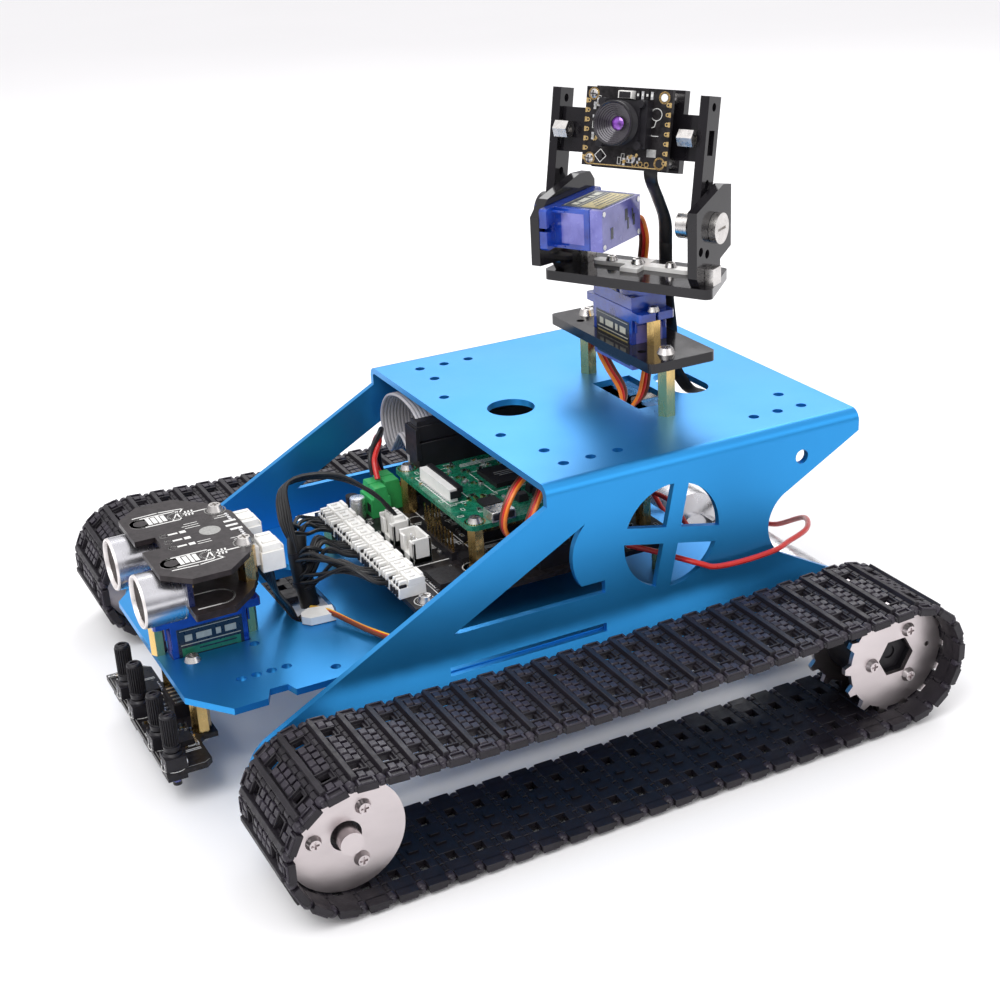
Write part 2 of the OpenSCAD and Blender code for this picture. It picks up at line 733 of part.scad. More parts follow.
module sensor_plug() {
    color("black") at_origin() block([99.6, -7, sensor_z], [104.6, 5, sensor_z + 4.6]);
}

module infrared_sensors() {
    color([0.08, 0.08, 0.1]) at_origin() for (y = [-26, -7, 7, 26]) {
        low = sensor_z - pcb_t - 5.4;
        block([109, y - 3.2, low + 2], [114.6, y + 3.2, sensor_z - pcb_t]);
        for (s = [-1, 1]) post(111.8, y + s * 1.6, low, 2.6, 2);
    }
}

// ---------- servos ----------

// Small servo with its output axis on Z through the origin and its ears at z = 0.
module servo_body() {
    difference() {
        union() {
            block([-5.9, -6.1, -15.9], [16.9, 6.1, 6.8]);
            block([-10.6, -6.1, 0], [21.6, 6.1, 2.5]);
            post(0, 0, 6.8, 11.8, 2.2);
            post(8, 0, 6.8, 5.4, 2);
        }
        for (x = [-8.4, 19.4]) post(x, 0, -1, 2.1, 5);
        post(0, 0, 1, 4.9, 10);
    }
}

module servo_spline(top) { post(0, 0, 1.2, 4.7, top - 1.2); }

module in_sonar() { translate([sonar_x, sonar_y, 0]) children(); }

module in_pan() { translate([pan_x, pan_y, 0]) rotate(pan_angle) children(); }

tilt_u = 3;
tilt_axis_z = 120.5;
lens_w = 27.3;

module in_tilt() { in_pan() translate([tilt_u, 0, tilt_axis_z]) rotate([0, -tilt_angle, 0]) children(); }

module in_tilt_servo() { in_pan() translate([tilt_u, -16.5, tilt_axis_z]) rotate([90, 0, 0]) children(); }

sonar_flange = sonar_plate_z - 11;
pan_flange = fork_z - 11;

module sonar_servo() { color(servo_blue) at_origin() in_sonar() translate([0, 0, sonar_flange]) servo_body(); }

module pan_servo() {
    color(servo_blue) at_origin() translate([pan_x, pan_y, pan_flange]) rotate(-90) servo_body();
}

module tilt_servo() { color(servo_blue) at_origin() in_tilt_servo() servo_body(); }

module servo_standoffs() {
    color(brass_gold) at_origin() {
        for (x = [-8.4, 19.4]) hex_post(sonar_x + x, sonar_y, base_h, 4, sonar_flange - base_h, 2.1);
        for (y = [8.4, -19.4])
            hex_post(pan_x, pan_y + y, mast_plate_z + acrylic_t, 4, pan_flange - mast_plate_z - acrylic_t, 2.1);
    }
}

module servo_screws() {
    color(steel_grey) at_origin() {
        for (x = [-8.4, 19.4]) translate([sonar_x + x, sonar_y, sonar_flange + 2.5]) pan_screw(1.9, 5.5, 3.8, 1.4);
        for (y = [8.4, -19.4]) translate([pan_x, pan_y + y, pan_flange + 2.5]) pan_screw(1.9, 8, 3.8, 1.4);
    }
}

// ---------- sonar head ----------

module sonar_outline() {
    polygon([[-9.8, -10], [-9.8, 10], [-5, 20], [3, 28], [14, 28], [21, 21], [21, 4], [15, 4], [15, -4], [21, -4],
             [21, -21], [14, -28], [3, -28], [-5, -20]]);
}

module sonar_head_place() { at_origin() in_sonar() children(); }

module sonar_plate() {
    color("black") sonar_head_place() translate([0, 0, sonar_plate_z]) linear_extrude(2) difference() {
        sonar_outline();
        translate([14.3, -40]) square([20, 80]);
        circle(d = 2.6);
        for (s = [-1, 1]) translate([-5.8, s * 13.2]) circle(d = 2.7);
    }
}

module sonar_horn() {
    color("white") sonar_head_place() {
        translate([0, 0, sonar_flange]) servo_spline(9.2);
        translate([0, 0, sonar_flange + 9.2]) union() {
            post(0, 0, 0, 7, 1.75);
            block([-3, -9, 0.3], [3, 9, 1.75]);
        }
    }
}

module sonar_standoffs() {
    color(brass_gold) sonar_head_place() for (s = [-1, 1])
        hex_post(-5.8, s * 13.2, sonar_plate_z + 2, 5, sonar_deck_z - sonar_plate_z - 2, 2.6);
}

module sonar_deck() {
    color([0.13, 0.12, 0.13]) sonar_head_place() translate([0, 0, sonar_deck_z]) linear_extrude(pcb_t) difference() {
        sonar_outline();
        circle(d = 5.4);
        for (s = [-1, 1]) translate([-5.8, s * 13.2]) circle(d = 2.7);
    }
}

module sonar_screws() {
    color(steel_grey) sonar_head_place() for (s = [-1, 1]) translate([-5.8, s * 13.2, 0]) {
        translate([0, 0, sonar_deck_z + pcb_t]) pan_screw(2.5, 6, 5, 1.8);
        translate([0, 0, sonar_plate_z]) rotate([180, 0, 0]) pan_screw(2.5, 6, 5, 1.4);
    }
}

module sonar_board() {
    color([0.1, 0.15, 0.4]) sonar_head_place()
        block([12.8, -22.5, sonar_plate_z + 2.1], [14.4, 22.5, sonar_deck_z - 0.1]);
}

module sonar_cans() {
    color(steel_grey) sonar_head_place() for (s = [-1, 1]) difference() {
        rod_x(s * 14, can_z, can_d, 14.4, 26.6);
        rod_x(s * 14, can_z, can_d - 1.6, 25.2, 27);
    }
}

module sonar_mesh() {
    color([0.15, 0.1, 0.1]) sonar_head_place() for (s = [-1, 1]) rod_x(s * 14, can_z, can_d - 1.8, 25.3, 26);
}

module sonar_plugs() {
    color(connector_white) sonar_head_place() for (y = [-16, 3]) difference() {
        block([-17, y, 38.5], [-10, y + 11, 46.5]);
        block([-15, y + 1, 38], [-11.5, y + 10, 42]);
    }
}

// ---------- camera mast ----------

module mast_standoffs() {
    color(brass_gold) at_origin() for (s = [-1, 1])
        hex_post(mast_x, mast_y + s * 23.5, deck_h, 5, mast_plate_z - deck_h, 2.6);
}

module mast_screws() {
    color(steel_grey) at_origin() for (s = [-1, 1]) translate([mast_x, mast_y + s * 23.5, 0]) {
        translate([0, 0, mast_plate_z + acrylic_t]) pan_screw(2.5, 8, 5.5, 1.8);
        translate([0, 0, deck_h - sheet]) rotate([180, 0, 0]) pan_screw(2.5, 7, 5.5, 1.8);
    }
}

module mast_plate() {
    color("black") at_origin() translate([pan_x, mast_y, mast_plate_z]) linear_extrude(acrylic_t) difference() {
        rounded_rect(23, 61, 2);
        square([12.8, 23.4], center = true);
        for (s = [-1, 1]) translate([mast_x - pan_x, s * 23.5]) circle(d = 2.7);
        for (s = [-1, 1]) translate([0, s * 13.9]) circle(d = 2.1);
        for (s = [-1, 1]) translate([7, s * 18.5]) circle(d = 2.6);
    }
}

module pan_horn() {
    color("white") at_origin() in_pan() {
        translate([0, 0, pan_flange]) servo_spline(9.2);
        translate([0, 0, pan_flange + 9.2]) post(0, 0, 0, 7, 1.75);
        translate([0, 0, fork_z + acrylic_t + slack]) union() {
            block([-2, -13, 0], [2, 16, 1.2]);
            block([-6, -3, 0], [6, 3, 1.2]);
            for (y = [-13, 16]) post(0, y, 0, 4, 1.2);
        }
    }
}

module horn_screws() {
    color(steel_grey) at_origin() in_pan() {
        for (y = [-9, 11]) translate([0, y, fork_z + acrylic_t + 1.4]) pan_screw(1.6, 0.1, 3.6, 1.3);
        translate([0, 0, fork_z + acrylic_t + 1.4]) pan_screw(1.6, 0.1, 4.4, 1.3);
    }
}

module fork_base() {
    color("black") at_origin() in_pan() translate([0, 0, fork_z]) linear_extrude(acrylic_t) difference() {
        offset(2) polygon([[-7.75, -23.2], [11.5, -23.2], [11.5, fork_w - 25.6], [-7.75, fork_w - 30.6]]);
        circle(d = 2.6);
        for (s = [-1, 1]) translate([-5, 2.6 + s * 15]) circle(d = 2.6);
    }
}

module fork_plate_right() {
    foot = fork_z + acrylic_t + slack;
    color("black") at_origin() in_pan() side_plate(24, 24 + acrylic_t) difference() {
        polygon([[-0.5, foot], [12.5, foot], [14.5, foot + 3], [14.5, 127.2], [-2.5, 132], [-7.5, 131], [-7.5, 112.8],
                 [-0.5, 110.5]]);
        translate([tilt_u, tilt_axis_z]) circle(d = 4.1);
        for (p = [[12, 115.5], [8, 114]]) translate(p) circle(d = 2.6);
    }
}

module fork_plate_left() {
    foot = fork_z + acrylic_t + slack;
    color("black") at_origin() in_pan() side_plate(-22, -22 + acrylic_t) difference() {
        polygon([[-8, foot], [11.5, foot], [14, 108.5], [24.8, 109.6], [24.8, 124], [19.5, 128.4], [1, 132], [-5.5, 131.4],
                 [-8, 128.6]]);
        for (x = [-8.4, 19.4]) translate([tilt_u + x, tilt_axis_z]) circle(d = 2);
        translate([tilt_u + 5.5, tilt_axis_z]) square([23.2, 12.5], center = true);
    }
}

module fork_brackets() {
    foot = fork_z + acrylic_t + slack;
    color(steel_grey) at_origin() in_pan() for (b = [[-3, -18.9], [4.5, 27.1]]) difference() {
        block([b[0], b[1], foot], [b[0] + 5, b[1] + 2.6, foot + 5]);
        post(b[0] + 2.5, b[1] + 1.3, fork_z, 1.3, 20);
    }
}

module pivot_screw() {
    color(steel_grey) at_origin() in_pan() translate([tilt_u, 0, tilt_axis_z]) difference() {
        union() {
            rod_y(0, 0, 4, 17.4, 27.1);
            rod_y(0, 0, 9, 27.1, 29.2);
            rod_y(0, 0, 8, 16, 19.6);
        }
        block([-2.4, 28.6, -0.4], [2.4, 30, 0.4]);
    }
}

module tilt_arm_outline(hole) {
    difference() {
        union() {
            circle(5);
            translate([-4, 0]) square([7.5, 36.5]);
        }
        circle(d = hole);
        for (z = [12, 33.5]) translate([0, z]) circle(d = 2.4);
        translate([-1.7, 20]) square([3.4, 7]);
    }
}

module tilt_arm_left() {
    color("black") at_origin() in_tilt() side_plate(-28.4, -25.6) tilt_arm_outline(4.8);
}

module tilt_arm_right() { color("black") at_origin() in_tilt() side_plate(20.4, 23.2) tilt_arm_outline(4.15); }

module tilt_horn() {
    color("black") at_origin() in_tilt() {
        rod_y(0, 0, 4.7, -28.5, -17.8);
        rod_y(0, 0, 11, -31, -28.5);
    }
}

module camera_crossbar() {
    color("black") at_origin() in_tilt() {
        block([-1.5, -14.5, 14.2], [1.5, 14.5, 37.6]);
        for (r = [[-25.5, -14.5], [14.5, 20.3]]) block([-1.5, r[0], 18], [1.5, r[1], 31]);
    }
}

module crossbar_nuts() {
    color(steel_grey) at_origin() in_tilt() for (y = [[-25.5, -21], [15.6, 20.3]])
        translate([4.4, y[0], 24.5]) difference() {
            rotate([-90, 0, 0]) cylinder(d = 5.5, h = y[1] - y[0], $fn = 6);
            rotate([-90, 0, 0]) translate([0, 0, -1]) cylinder(d = 2.2, h = 8);
        }
}

module camera_spacers() {
    color(brass_gold) at_origin() in_tilt() for (y = [-11.5, 11.5], z = [17, 35.2]) rod_x(y, z, 3, 1.5, 6.7);
}

module camera_board() {
    color(board_black) at_origin() in_tilt() block([6.7, -14, 14.8], [8.2, 14, 37.2]);
}

module lens_holder() {
    color([0.09, 0.09, 0.1]) at_origin() in_tilt() difference() {
        union() {
            block([8.2, -6.5, lens_w - 6.5], [13, 8.2, lens_w + 6.5]);
            rod_x(0, lens_w, 12.6, 13, 16.6);
        }
        rod_x(0, lens_w, 9.1, 11, 18);
    }
}

module camera_lens() {
    color([0.3, 0.15, 0.4]) at_origin() in_tilt() difference() {
        rod_x(0, lens_w, 9, 11, 18);
        rod_x(0, lens_w, 6, 16.8, 19);
    }
}

// ---------- cables ----------

function pan_point(u, v, z) =
    [pan_x + u * cos(pan_angle) - v * sin(pan_angle), pan_y + u * sin(pan_angle) + v * cos(pan_angle), z];

function tilt_point(u, v, w) = pan_point(tilt_u + u * cos(tilt_angle) - w * sin(tilt_angle), v,
                                         tilt_axis_z + u * sin(tilt_angle) + w * cos(tilt_angle));

module camera_cable() {
    path = [tilt_point(4.2, 7, 19), tilt_point(4, 7, 12.5), pan_point(-2.5, 5.6, 126), pan_point(-9, 4.4, 118),
            pan_point(-12.6, 2.7, 110), pan_point(-13.2, 2.4, 102), [-64.6, 9, 92], [-66.6, 7.6, 81],
            [-66.8, 7.6, 71], [-71, 10.2, 61.5], [-78, 8, 57], [-81, 6, 50], [-71.4, 5.5, 48]];
    color("black") at_origin() sweep(spline(path, 4), 4.4, 2, 8);
}

module head_servo_leads() {
    color("darkorange") at_origin() for (k = [-1 : 1]) {
        wire([[pan_x + k, -3.4, 78], [pan_x + k, -9, 73], [-51 + k, -4, 68], [-51 + k, 4, 62], [-44, 14 + k, 57]], 1.3);
        wire([pan_point(-3.1, -3.4 + k, 119.5), pan_point(-7, -3.2 + k, 118), pan_point(-11, -3.8 + k, 111),
              pan_point(-12.6, -5.4 + k, 103), pan_point(-13, -6 + k, 95), [-65 + k, 2, 85], [-65.3 + k, 2, 79],
              [-59 + k, 6, 70], [-54 + k, 10, 62], [-45, 12 + k, 57.5]], 1.3);
    }
}

module board_servo_leads() {
    color("darkorange") at_origin() {
        for (k = [-1 : 1]) {
            wire([[-43, 15 + k, 57.3], [-16, 31 + k, 56], [-6, 38 + k, 57], [2, 44 + k, 52], [6, 45 + k, 44],
                  [1, 40 + k, 37], [-6, 34 + k, 32.8]], 1.3);
            wire([[58, 2 + 1.3 * k, 14.4], [56, 12 + k, 17], [50, 28 + k, 16.6], [42 + k, 44, 16.6], [32, 52 + k, 16.6],
                  [12, 55 + k, 16.4], [-8, 54 + k, 17.5], [-20, 49 + k, 22], [-24, 44 + k, 29]], 1.3);
        }
    }
}

module sonar_harness() {
    color("black") at_origin() for (i = [0 : 3]) {
        start = sonar_y - 13.4 + 2 * i;
        wire([[sonar_x - 13.2, start, 41], [sonar_x - 13.4, start, 36], [71, start * 0.8 - 1, 28],
              [66.5, -9 + 2 * i, 20], [63.6, -10 + 2 * i, 11.2]], 1.4);
        wire([[sonar_x - 13.2, start + 19, 41], [sonar_x - 13.4, start + 19, 36], [71.5, 8 + 1.6 * i, 28],
              [66.5, 1 + 2 * i, 19.5], [63.6, 2 * i, 11.2]], 1.4);
    }
}

module board_harness() {
    entry = [-30, -26, -14, -7, 0, 3];
    color("black") at_origin() {
        for (i = [0 : len(entry) - 1]) wire([[54.5 + i, -11 - i, 11], [55 + 0.8 * i, -12, 20],
                                             [54.5, entry[i] * 0.6 - 6, 27 + i], [49, entry[i], 30],
                                             [42.6, entry[i] + 1, 28]], 1.4);
        for (i = [0 : 2]) wire([[58, -19 - 1.6 * i, 11], [61, -20 + i, 28], [57, -22 + 2 * i, 41 + i],
                                [44, -20 + 3 * i, 46 + i], [30, -12 + 2 * i, 42], [25.5, -8 + 2 * i, 32.2]], 1.4);
        for (i = [0 : 3]) wire([[57, -4 + 1.5 * i, 11], [66, -6 + 1.5 * i, 6.4], [82, -10 + 1.5 * i, 3],
                                [92, -8 + 1.5 * i, -3], [98.8, -5 + 2.4 * i, -5.6]], 1.2);
    }
}

// ---------- shared nodes ----------

module chassis_screws() {
    shell_screws();
    shell_nuts();
    motor_screws();
    board_screws();
    computer_screws();
    sensor_screws();
    mast_screws();
    servo_screws();
}

module brass_standoffs() {
    board_standoffs();
    computer_standoffs();
    sensor_standoffs();
    servo_standoffs();
    mast_standoffs();
}

module sprocket_discs_left() {
    sprocket_left();
    sprocket_screws_left();
}

module sprocket_discs_right() {
    sprocket_right();
    sprocket_screws_right();
}

module idler_discs_left() {
    idler_left();
    idler_screws_left();
}

module idler_discs_right() {
    idler_right();
    idler_screws_right();
}

module idler_hub_left() {
    idler_drum_left();
    idler_bushes_left();
}

module idler_hub_right() {
    idler_drum_right();
    idler_bushes_right();
}

module drive_coupler_left() {
    drive_shaft_left();
    shaft_coupler_left();
}

module drive_coupler_right() {
    drive_shaft_right();
    shaft_coupler_right();
}

module idler_axles() {
    idler_axle_left();
    idler_axle_right();
}

module battery() {
    battery_pack();
    battery_strap();
}

module white_plugs() {
    plug_row();
    plug_pair();
    display_socket();
}

module board_chips() {
    control_chips();
    computer_chips();
}

module power_leads() {
    power_wires();
    motor_wires();
}

module sensor_parts() {
    trimmer_bodies();
    sensor_plug();
    infrared_sensors();
}

module sonar_plates() {
    sonar_plate();
    sonar_deck();
}

module sonar_fasteners() {
    sonar_standoffs();
    sonar_screws();
}

module sonar_transducers() {
    sonar_cans();
    sonar_mesh();
}

module fork_plates() {
    fork_plate_left();
    fork_plate_right();
}

module fork_fasteners() {
    horn_screws();
    fork_brackets();
    pivot_screw();
}

module camera_frame() {
    tilt_arm_left();
    tilt_arm_right();
    camera_crossbar();
}

module camera_fasteners() {
    camera_spacers();
    crossbar_nuts();
}

base_plate();
upper_shell();
chassis_screws();
brass_standoffs();
gearmotor_left();
gearmotor_right();
idler_axles();
battery();
sprocket_discs_left();
sprocket_drum_left();
drive_coupler_left();
sprocket_discs_right();
sprocket_drum_right();
drive_coupler_right();
idler_discs_left();
idler_hub_left();
idler_discs_right();
idler_hub_right();
track_left();
track_right();
control_board();
computer_board();
computer_ports();
board_chips();
white_plugs();
screw_terminals();
header_socket();
ribbon_cable();
power_leads();
board_harness();
board_servo_leads();
sensor_board();
sensor_parts();
trimmer_knob_1();
trimmer_knob_2();
trimmer_knob_3();
trimmer_knob_4();
sonar_servo();
sonar_horn();
sonar_plates();
sonar_board();
sonar_transducers();
sonar_plugs();
sonar_fasteners();
sonar_harness();
mast_plate();
pan_servo();
pan_horn();
fork_base();
fork_plates();
fork_fasteners();
tilt_servo();
tilt_horn();
camera_frame();
camera_fasteners();
camera_board();
lens_holder();
camera_lens();
camera_cable();
head_servo_leads();
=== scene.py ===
"""Looks for the tracked robot chassis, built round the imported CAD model.

Lengths in the tables below are millimetres in the axle frame of the CAD source: X forward, Y left, Z up,
zero midway between the axles. ROW turns them into the row frame in metres.
"""

import math
import random

import bmesh
import bpy
from mathutils import Matrix, Vector


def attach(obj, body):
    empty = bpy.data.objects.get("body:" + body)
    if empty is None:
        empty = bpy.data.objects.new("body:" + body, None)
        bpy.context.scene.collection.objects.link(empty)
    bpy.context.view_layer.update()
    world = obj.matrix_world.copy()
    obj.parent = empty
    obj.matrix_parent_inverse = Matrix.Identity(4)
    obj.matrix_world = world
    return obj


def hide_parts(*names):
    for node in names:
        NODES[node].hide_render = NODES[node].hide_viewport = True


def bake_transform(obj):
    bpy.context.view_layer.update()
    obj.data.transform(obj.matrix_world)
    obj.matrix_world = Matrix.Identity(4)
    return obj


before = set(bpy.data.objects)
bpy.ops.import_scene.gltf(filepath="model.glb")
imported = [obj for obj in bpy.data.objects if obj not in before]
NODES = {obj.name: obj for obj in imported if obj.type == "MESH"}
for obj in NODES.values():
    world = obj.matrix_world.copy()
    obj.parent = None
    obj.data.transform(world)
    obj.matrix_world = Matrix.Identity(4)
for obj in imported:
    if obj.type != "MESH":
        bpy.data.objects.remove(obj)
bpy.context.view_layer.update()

TEETH, LINKS, WHEELBASE = 14, 56, 174.2
PITCH = 2 * WHEELBASE / (LINKS - TEETH)
HALF_WB = WHEELBASE / 2
HINGE_R = PITCH / (2 * math.sin(math.pi / TEETH))
TREAD, TRACK_Y, SAG = 1.6, 87.2, 2.3
DROP = HINGE_R + TREAD
MIDDLE_X = 4
ROW = Matrix.Scale(0.001, 4) @ Matrix.Translation((-MIDDLE_X, 0, DROP))

CONTROL_TOP, COMPUTER_TOP, BOARD_T = 26.0, 40.8, 1.6
PLUGS, PLUG_PITCH, PIN_PITCH, PORT_X = 9, 7.2, 2.54, -70.8
SENSOR_Z, KNOB_X, EYE_X = -8.0, 112.4, 111.8
KNOBS = (-17.7, -4.5, 16.1, 29.4)
SONAR_X, SONAR_Y, SONAR_PLATE, SONAR_DECK = 87.1, 5.0, 36.0, 47.5
CAN_Y, CAN_Z, CAN_R = 14, 39.4, 7.75
PAN_X, PAN_Y, FORK_Z, PAN_ANGLE = -51.0, 14.3, 102.0, 30
TILT_U, TILT_Z, TILT_ANGLE, TILT_SERVO_V = 3, 120.5, -12, -16.5
CAMERA_U, LENS_W = 8.2, 27.3
SERVO_FLANGE = 11
CORD_STEPS = 6
UP, DOWN, AHEAD = (0, 0, 1), (0, 0, -1), (1, 0, 0)


def turn(degrees, axis):
    return Matrix.Rotation(math.radians(degrees), 4, axis)


def move(x, y, z):
    return Matrix.Translation((x, y, z))


IN_SONAR = move(SONAR_X, SONAR_Y, 0)
IN_PAN = move(PAN_X, PAN_Y, 0) @ turn(PAN_ANGLE, "Z")
IN_TILT = IN_PAN @ move(TILT_U, 0, TILT_Z) @ turn(TILT_ANGLE, "Y")
IN_TILT_SERVO = IN_PAN @ move(TILT_U, TILT_SERVO_V, TILT_Z) @ turn(90, "X")
MIRROR_Y = Matrix.Scale(-1, 4, (0, 1, 0))


# ---------- camera, floor and light ----------


def studio():
    scene = bpy.context.scene
    cam = bpy.data.objects.new("camera", bpy.data.cameras.new("camera"))
    scene.collection.objects.link(cam)
    right = Vector((-0.88964, 0.45408, -0.04853))
    up = Vector((-0.22191, -0.33698, 0.91499))
    back = right.cross(up)
    cam.matrix_world = Matrix.Translation((0.19724, 0.43186, 0.26371)) @ Matrix(
        (right, up, back)
    ).transposed().to_4x4()
    cam.data.sensor_width = 36
    cam.data.lens = 59.935
    cam.data.clip_start = 0.01
    scene.camera = cam
    scene.view_settings.view_transform = "Standard"
    world = bpy.data.worlds.new("studio")
    scene.world = world
    world.use_nodes = True
    nt = world.node_tree
    new, link = nt.nodes.new, nt.links.new
    background = nt.nodes["Background"]
    coord = new("ShaderNodeTexCoord")
    split = new("ShaderNodeSeparateXYZ")
    ramp = new("ShaderNodeValToRGB")
    ramp.color_ramp.elements[0].position = 0.0
    ramp.color_ramp.elements[0].color = (0.21, 0.205, 0.225, 1)
    ramp.color_ramp.elements[1].position = 0.5
    ramp.color_ramp.elements[1].color = (1.0, 0.985, 1.0, 1)
    link(coord.outputs["Generated"], split.inputs[0])
    link(split.outputs["Z"], ramp.inputs[0])
    link(ramp.outputs[0], background.inputs["Color"])
    background.inputs["Strength"].default_value = 1.08
    for name, at, size, power in (
        ("key", (0.5, 0.3, 0.85), 0.6, 5.2),
        ("fill", (-0.5, 0.75, 0.5), 0.6, 1.0),
        ("rim", (-0.45, -0.65, 0.7), 0.6, 3),
    ):
        light = bpy.data.lights.new(name, "AREA")
        light.energy, light.size = power, size
        lamp = bpy.data.objects.new(name, light)
        lamp.location = at
        lamp.rotation_euler = (Vector((0, 0, 0.06)) - Vector(at)).to_track_quat("-Z", "Y").to_euler()
        scene.collection.objects.link(lamp)
    me = bpy.data.meshes.new("floor")
    s = 15
    me.from_pydata([(-s, -s, 0), (s, -s, 0), (s, s, 0), (-s, s, 0)], [], [(0, 1, 2, 3)])
    floor = bpy.data.objects.new("floor", me)
    floor.location.z = -0.0002
    scene.collection.objects.link(floor)
    me.materials.append(material("floor_paint", (0.90, 0.90, 0.905), 0.7, vary=0.01, scale=3, bump=0.05))


# ---------- materials ----------


def material(name, color, rough=0.45, metal=0.0, vary=0.08, scale=90, stretch=(1, 1, 1), bump=0.1,
             grain=900, spread=0.08, coat=0.0, transmit=0.0, spec=0.5, other=None):
    """A shader whose colour, roughness and surface all vary by noise in object space."""
    mat = bpy.data.materials.new(name)
    mat.use_nodes = True
    nt = mat.node_tree
    new, link = nt.nodes.new, nt.links.new
    shader = nt.nodes["Principled BSDF"]
    coord = new("ShaderNodeTexCoord")
    place = new("ShaderNodeMapping")
    place.inputs["Scale"].default_value = stretch
    link(coord.outputs["Object"], place.inputs["Vector"])

    def noise(size, detail):
        n = new("ShaderNodeTexNoise")
        n.inputs["Scale"].default_value = size
        n.inputs["Detail"].default_value = detail
        link(place.outputs[0], n.inputs["Vector"])
        return n.outputs["Fac"]

    ramp = new("ShaderNodeValToRGB")
    lo, hi = ramp.color_ramp.elements
    lo.position, hi.position = 0.3, 0.7
    lo.color = (*[c * (1 - vary) for c in color], 1)
    hi.color = (*(other or [min(1, c * (1 + vary)) for c in color]), 1)
    link(noise(scale, 4), ramp.inputs[0])
    link(ramp.outputs[0], shader.inputs["Base Color"])
    rough_map = new("ShaderNodeMapRange")
    rough_map.inputs["From Min"].default_value = 0.3
    rough_map.inputs["From Max"].default_value = 0.7
    rough_map.inputs["To Min"].default_value = max(0.02, rough - spread)
    rough_map.inputs["To Max"].default_value = min(1, rough + spread)
    link(noise(scale * 2.3, 5), rough_map.inputs["Value"])
    link(rough_map.outputs[0], shader.inputs["Roughness"])
    if bump:
        b = new("ShaderNodeBump")
        b.inputs["Strength"].default_value = bump
        b.inputs["Distance"].default_value = 0.0002
        link(noise(grain, 6), b.inputs["Height"])
        link(b.outputs[0], shader.inputs["Normal"])
    shader.inputs["Metallic"].default_value = metal
    shader.inputs["Coat Weight"].default_value = coat
    shader.inputs["Coat Roughness"].default_value = 0.08
    shader.inputs["Transmission Weight"].default_value = transmit
    shader.inputs["Specular IOR Level"].default_value = spec
    return mat


BLUE = material("anodised_blue", (0.026, 0.285, 0.67), 0.36, 0.80, 0.06, 12, (1, 1, 1), 0.10, 2600, 0.05)
# lighter blue for the bevelled edges of the shell and base plate: a painted highlight along the edges
BLUE_EDGE_HIGHLIGHT = material("anodised_edge_highlight", (0.16, 0.52, 0.88), 0.28, 0.7, 0.1, 300)
NICKEL = material("brushed_nickel", (0.60, 0.545, 0.55), 0.34, 1.0, 0.04, 60, (1, 1, 3), 0.10, 1400, 0.05)
STEEL = material("screw_steel", (0.64, 0.62, 0.60), 0.28, 1.0, 0.12, 300)
MOTOR = material("motor_steel", (0.60, 0.60, 0.62), 0.3, 1.0, 0.08, 60, (1, 8, 1), 0.15, 500)
BRASS = material("brass", (0.72, 0.50, 0.20), 0.26, 1.0, 0.14, 160, (1, 1, 0.4), 0.12, 1200)
GOLD = material("gold_plate", (0.83, 0.60, 0.27), 0.25, 1.0, 0.1, 900, bump=0.05)
TIN = material("solder_tin", (0.75, 0.75, 0.76), 0.3, 1.0, 0.12, 1500, bump=0.2)
TRACK = material("track_nylon", (0.012, 0.010, 0.014), 0.46, 0, 0.3, 150, bump=0.35, grain=1700, spread=0.1,
                 spec=0.32)
# a lighter, glossier copy of the track nylon: painted highlight on the raised parts of the links, also used
# on the knobs
TRACK_HIGHLIGHT = material("track_nylon_highlight", (0.020, 0.016, 0.025), 0.42, 0, 0.35, 220, bump=0.3, grain=2100,
                      spread=0.12, spec=0.40)
ACRYLIC = material("black_acrylic", (0.010, 0.009, 0.011), 0.12, 0, 0.2, 60, bump=0.01, spread=0.04,
                   spec=0.38)
BLACK = material("black_moulding", (0.012, 0.011, 0.014), 0.42, 0, 0.2, 200, bump=0.25, grain=2500, spec=0.3)
CHIP = material("chip_epoxy", (0.014, 0.013, 0.015), 0.5, 0, 0.15, 400, bump=0.3, grain=4000, spec=0.28)
BOARD = material("black_solder_mask", (0.008, 0.007, 0.008), 0.34, 0, 0.4, 700, bump=0.12, grain=900,
                 other=(0.024, 0.021, 0.023), spec=0.22)
SONAR_PCB = material("smoky_solder_mask", (0.018, 0.014, 0.015), 0.36, 0, 0.3, 400, bump=0.06, spec=0.25,
                     other=(0.030, 0.024, 0.026))
GREEN = material("green_solder_mask", (0.006, 0.120, 0.062), 0.28, 0, 0.3, 420, bump=0.15, grain=1100,
                 coat=0.35, other=(0.012, 0.210, 0.115))
GREEN_EDGE = material("green_board_edge", (0.16, 0.62, 0.30), 0.5, 0, 0.15, 900, bump=0.3)
BLUE_BOARD = material("blue_solder_mask", (0.006, 0.012, 0.060), 0.3, 0, 0.3, 500, bump=0.15, coat=0.3)
INK = material("white_ink", (0.70, 0.70, 0.68), 0.6, 0, 0.12, 1500, bump=0.15)
GREY_INK = material("grey_ink", (0.30, 0.30, 0.29), 0.6, 0, 0.2, 1500, bump=0.15)
NYLON = material("white_nylon", (0.80, 0.79, 0.76), 0.38, 0, 0.05, 300, bump=0.15, grain=1800)
TERMINAL = material("terminal_green", (0.035, 0.36, 0.10), 0.38, 0, 0.12, 300, bump=0.2, grain=1500)
SERVO = material("translucent_blue", (0.006, 0.035, 0.42), 0.13, 0, 0.3, 160, bump=0.04, spread=0.05,
                 coat=0.5, transmit=0.35, other=(0.015, 0.10, 0.66))
SERVO_LID = material("servo_lid", (0.10, 0.10, 0.42), 0.22, 0, 0.2, 160, bump=0.04, coat=0.6,
                     other=(0.20, 0.20, 0.55))
LABEL = material("label_navy", (0.010, 0.016, 0.030), 0.32, 0, 0.2, 500, bump=0.05, coat=0.2)
LABEL_GOLD = material("label_gold", (0.42, 0.35, 0.14), 0.34, 0.5, 0.15, 500, bump=0.05)
LABEL_GREEN = material("label_green", (0.03, 0.22, 0.12), 0.34, 0.3, 0.2, 500, bump=0.05)
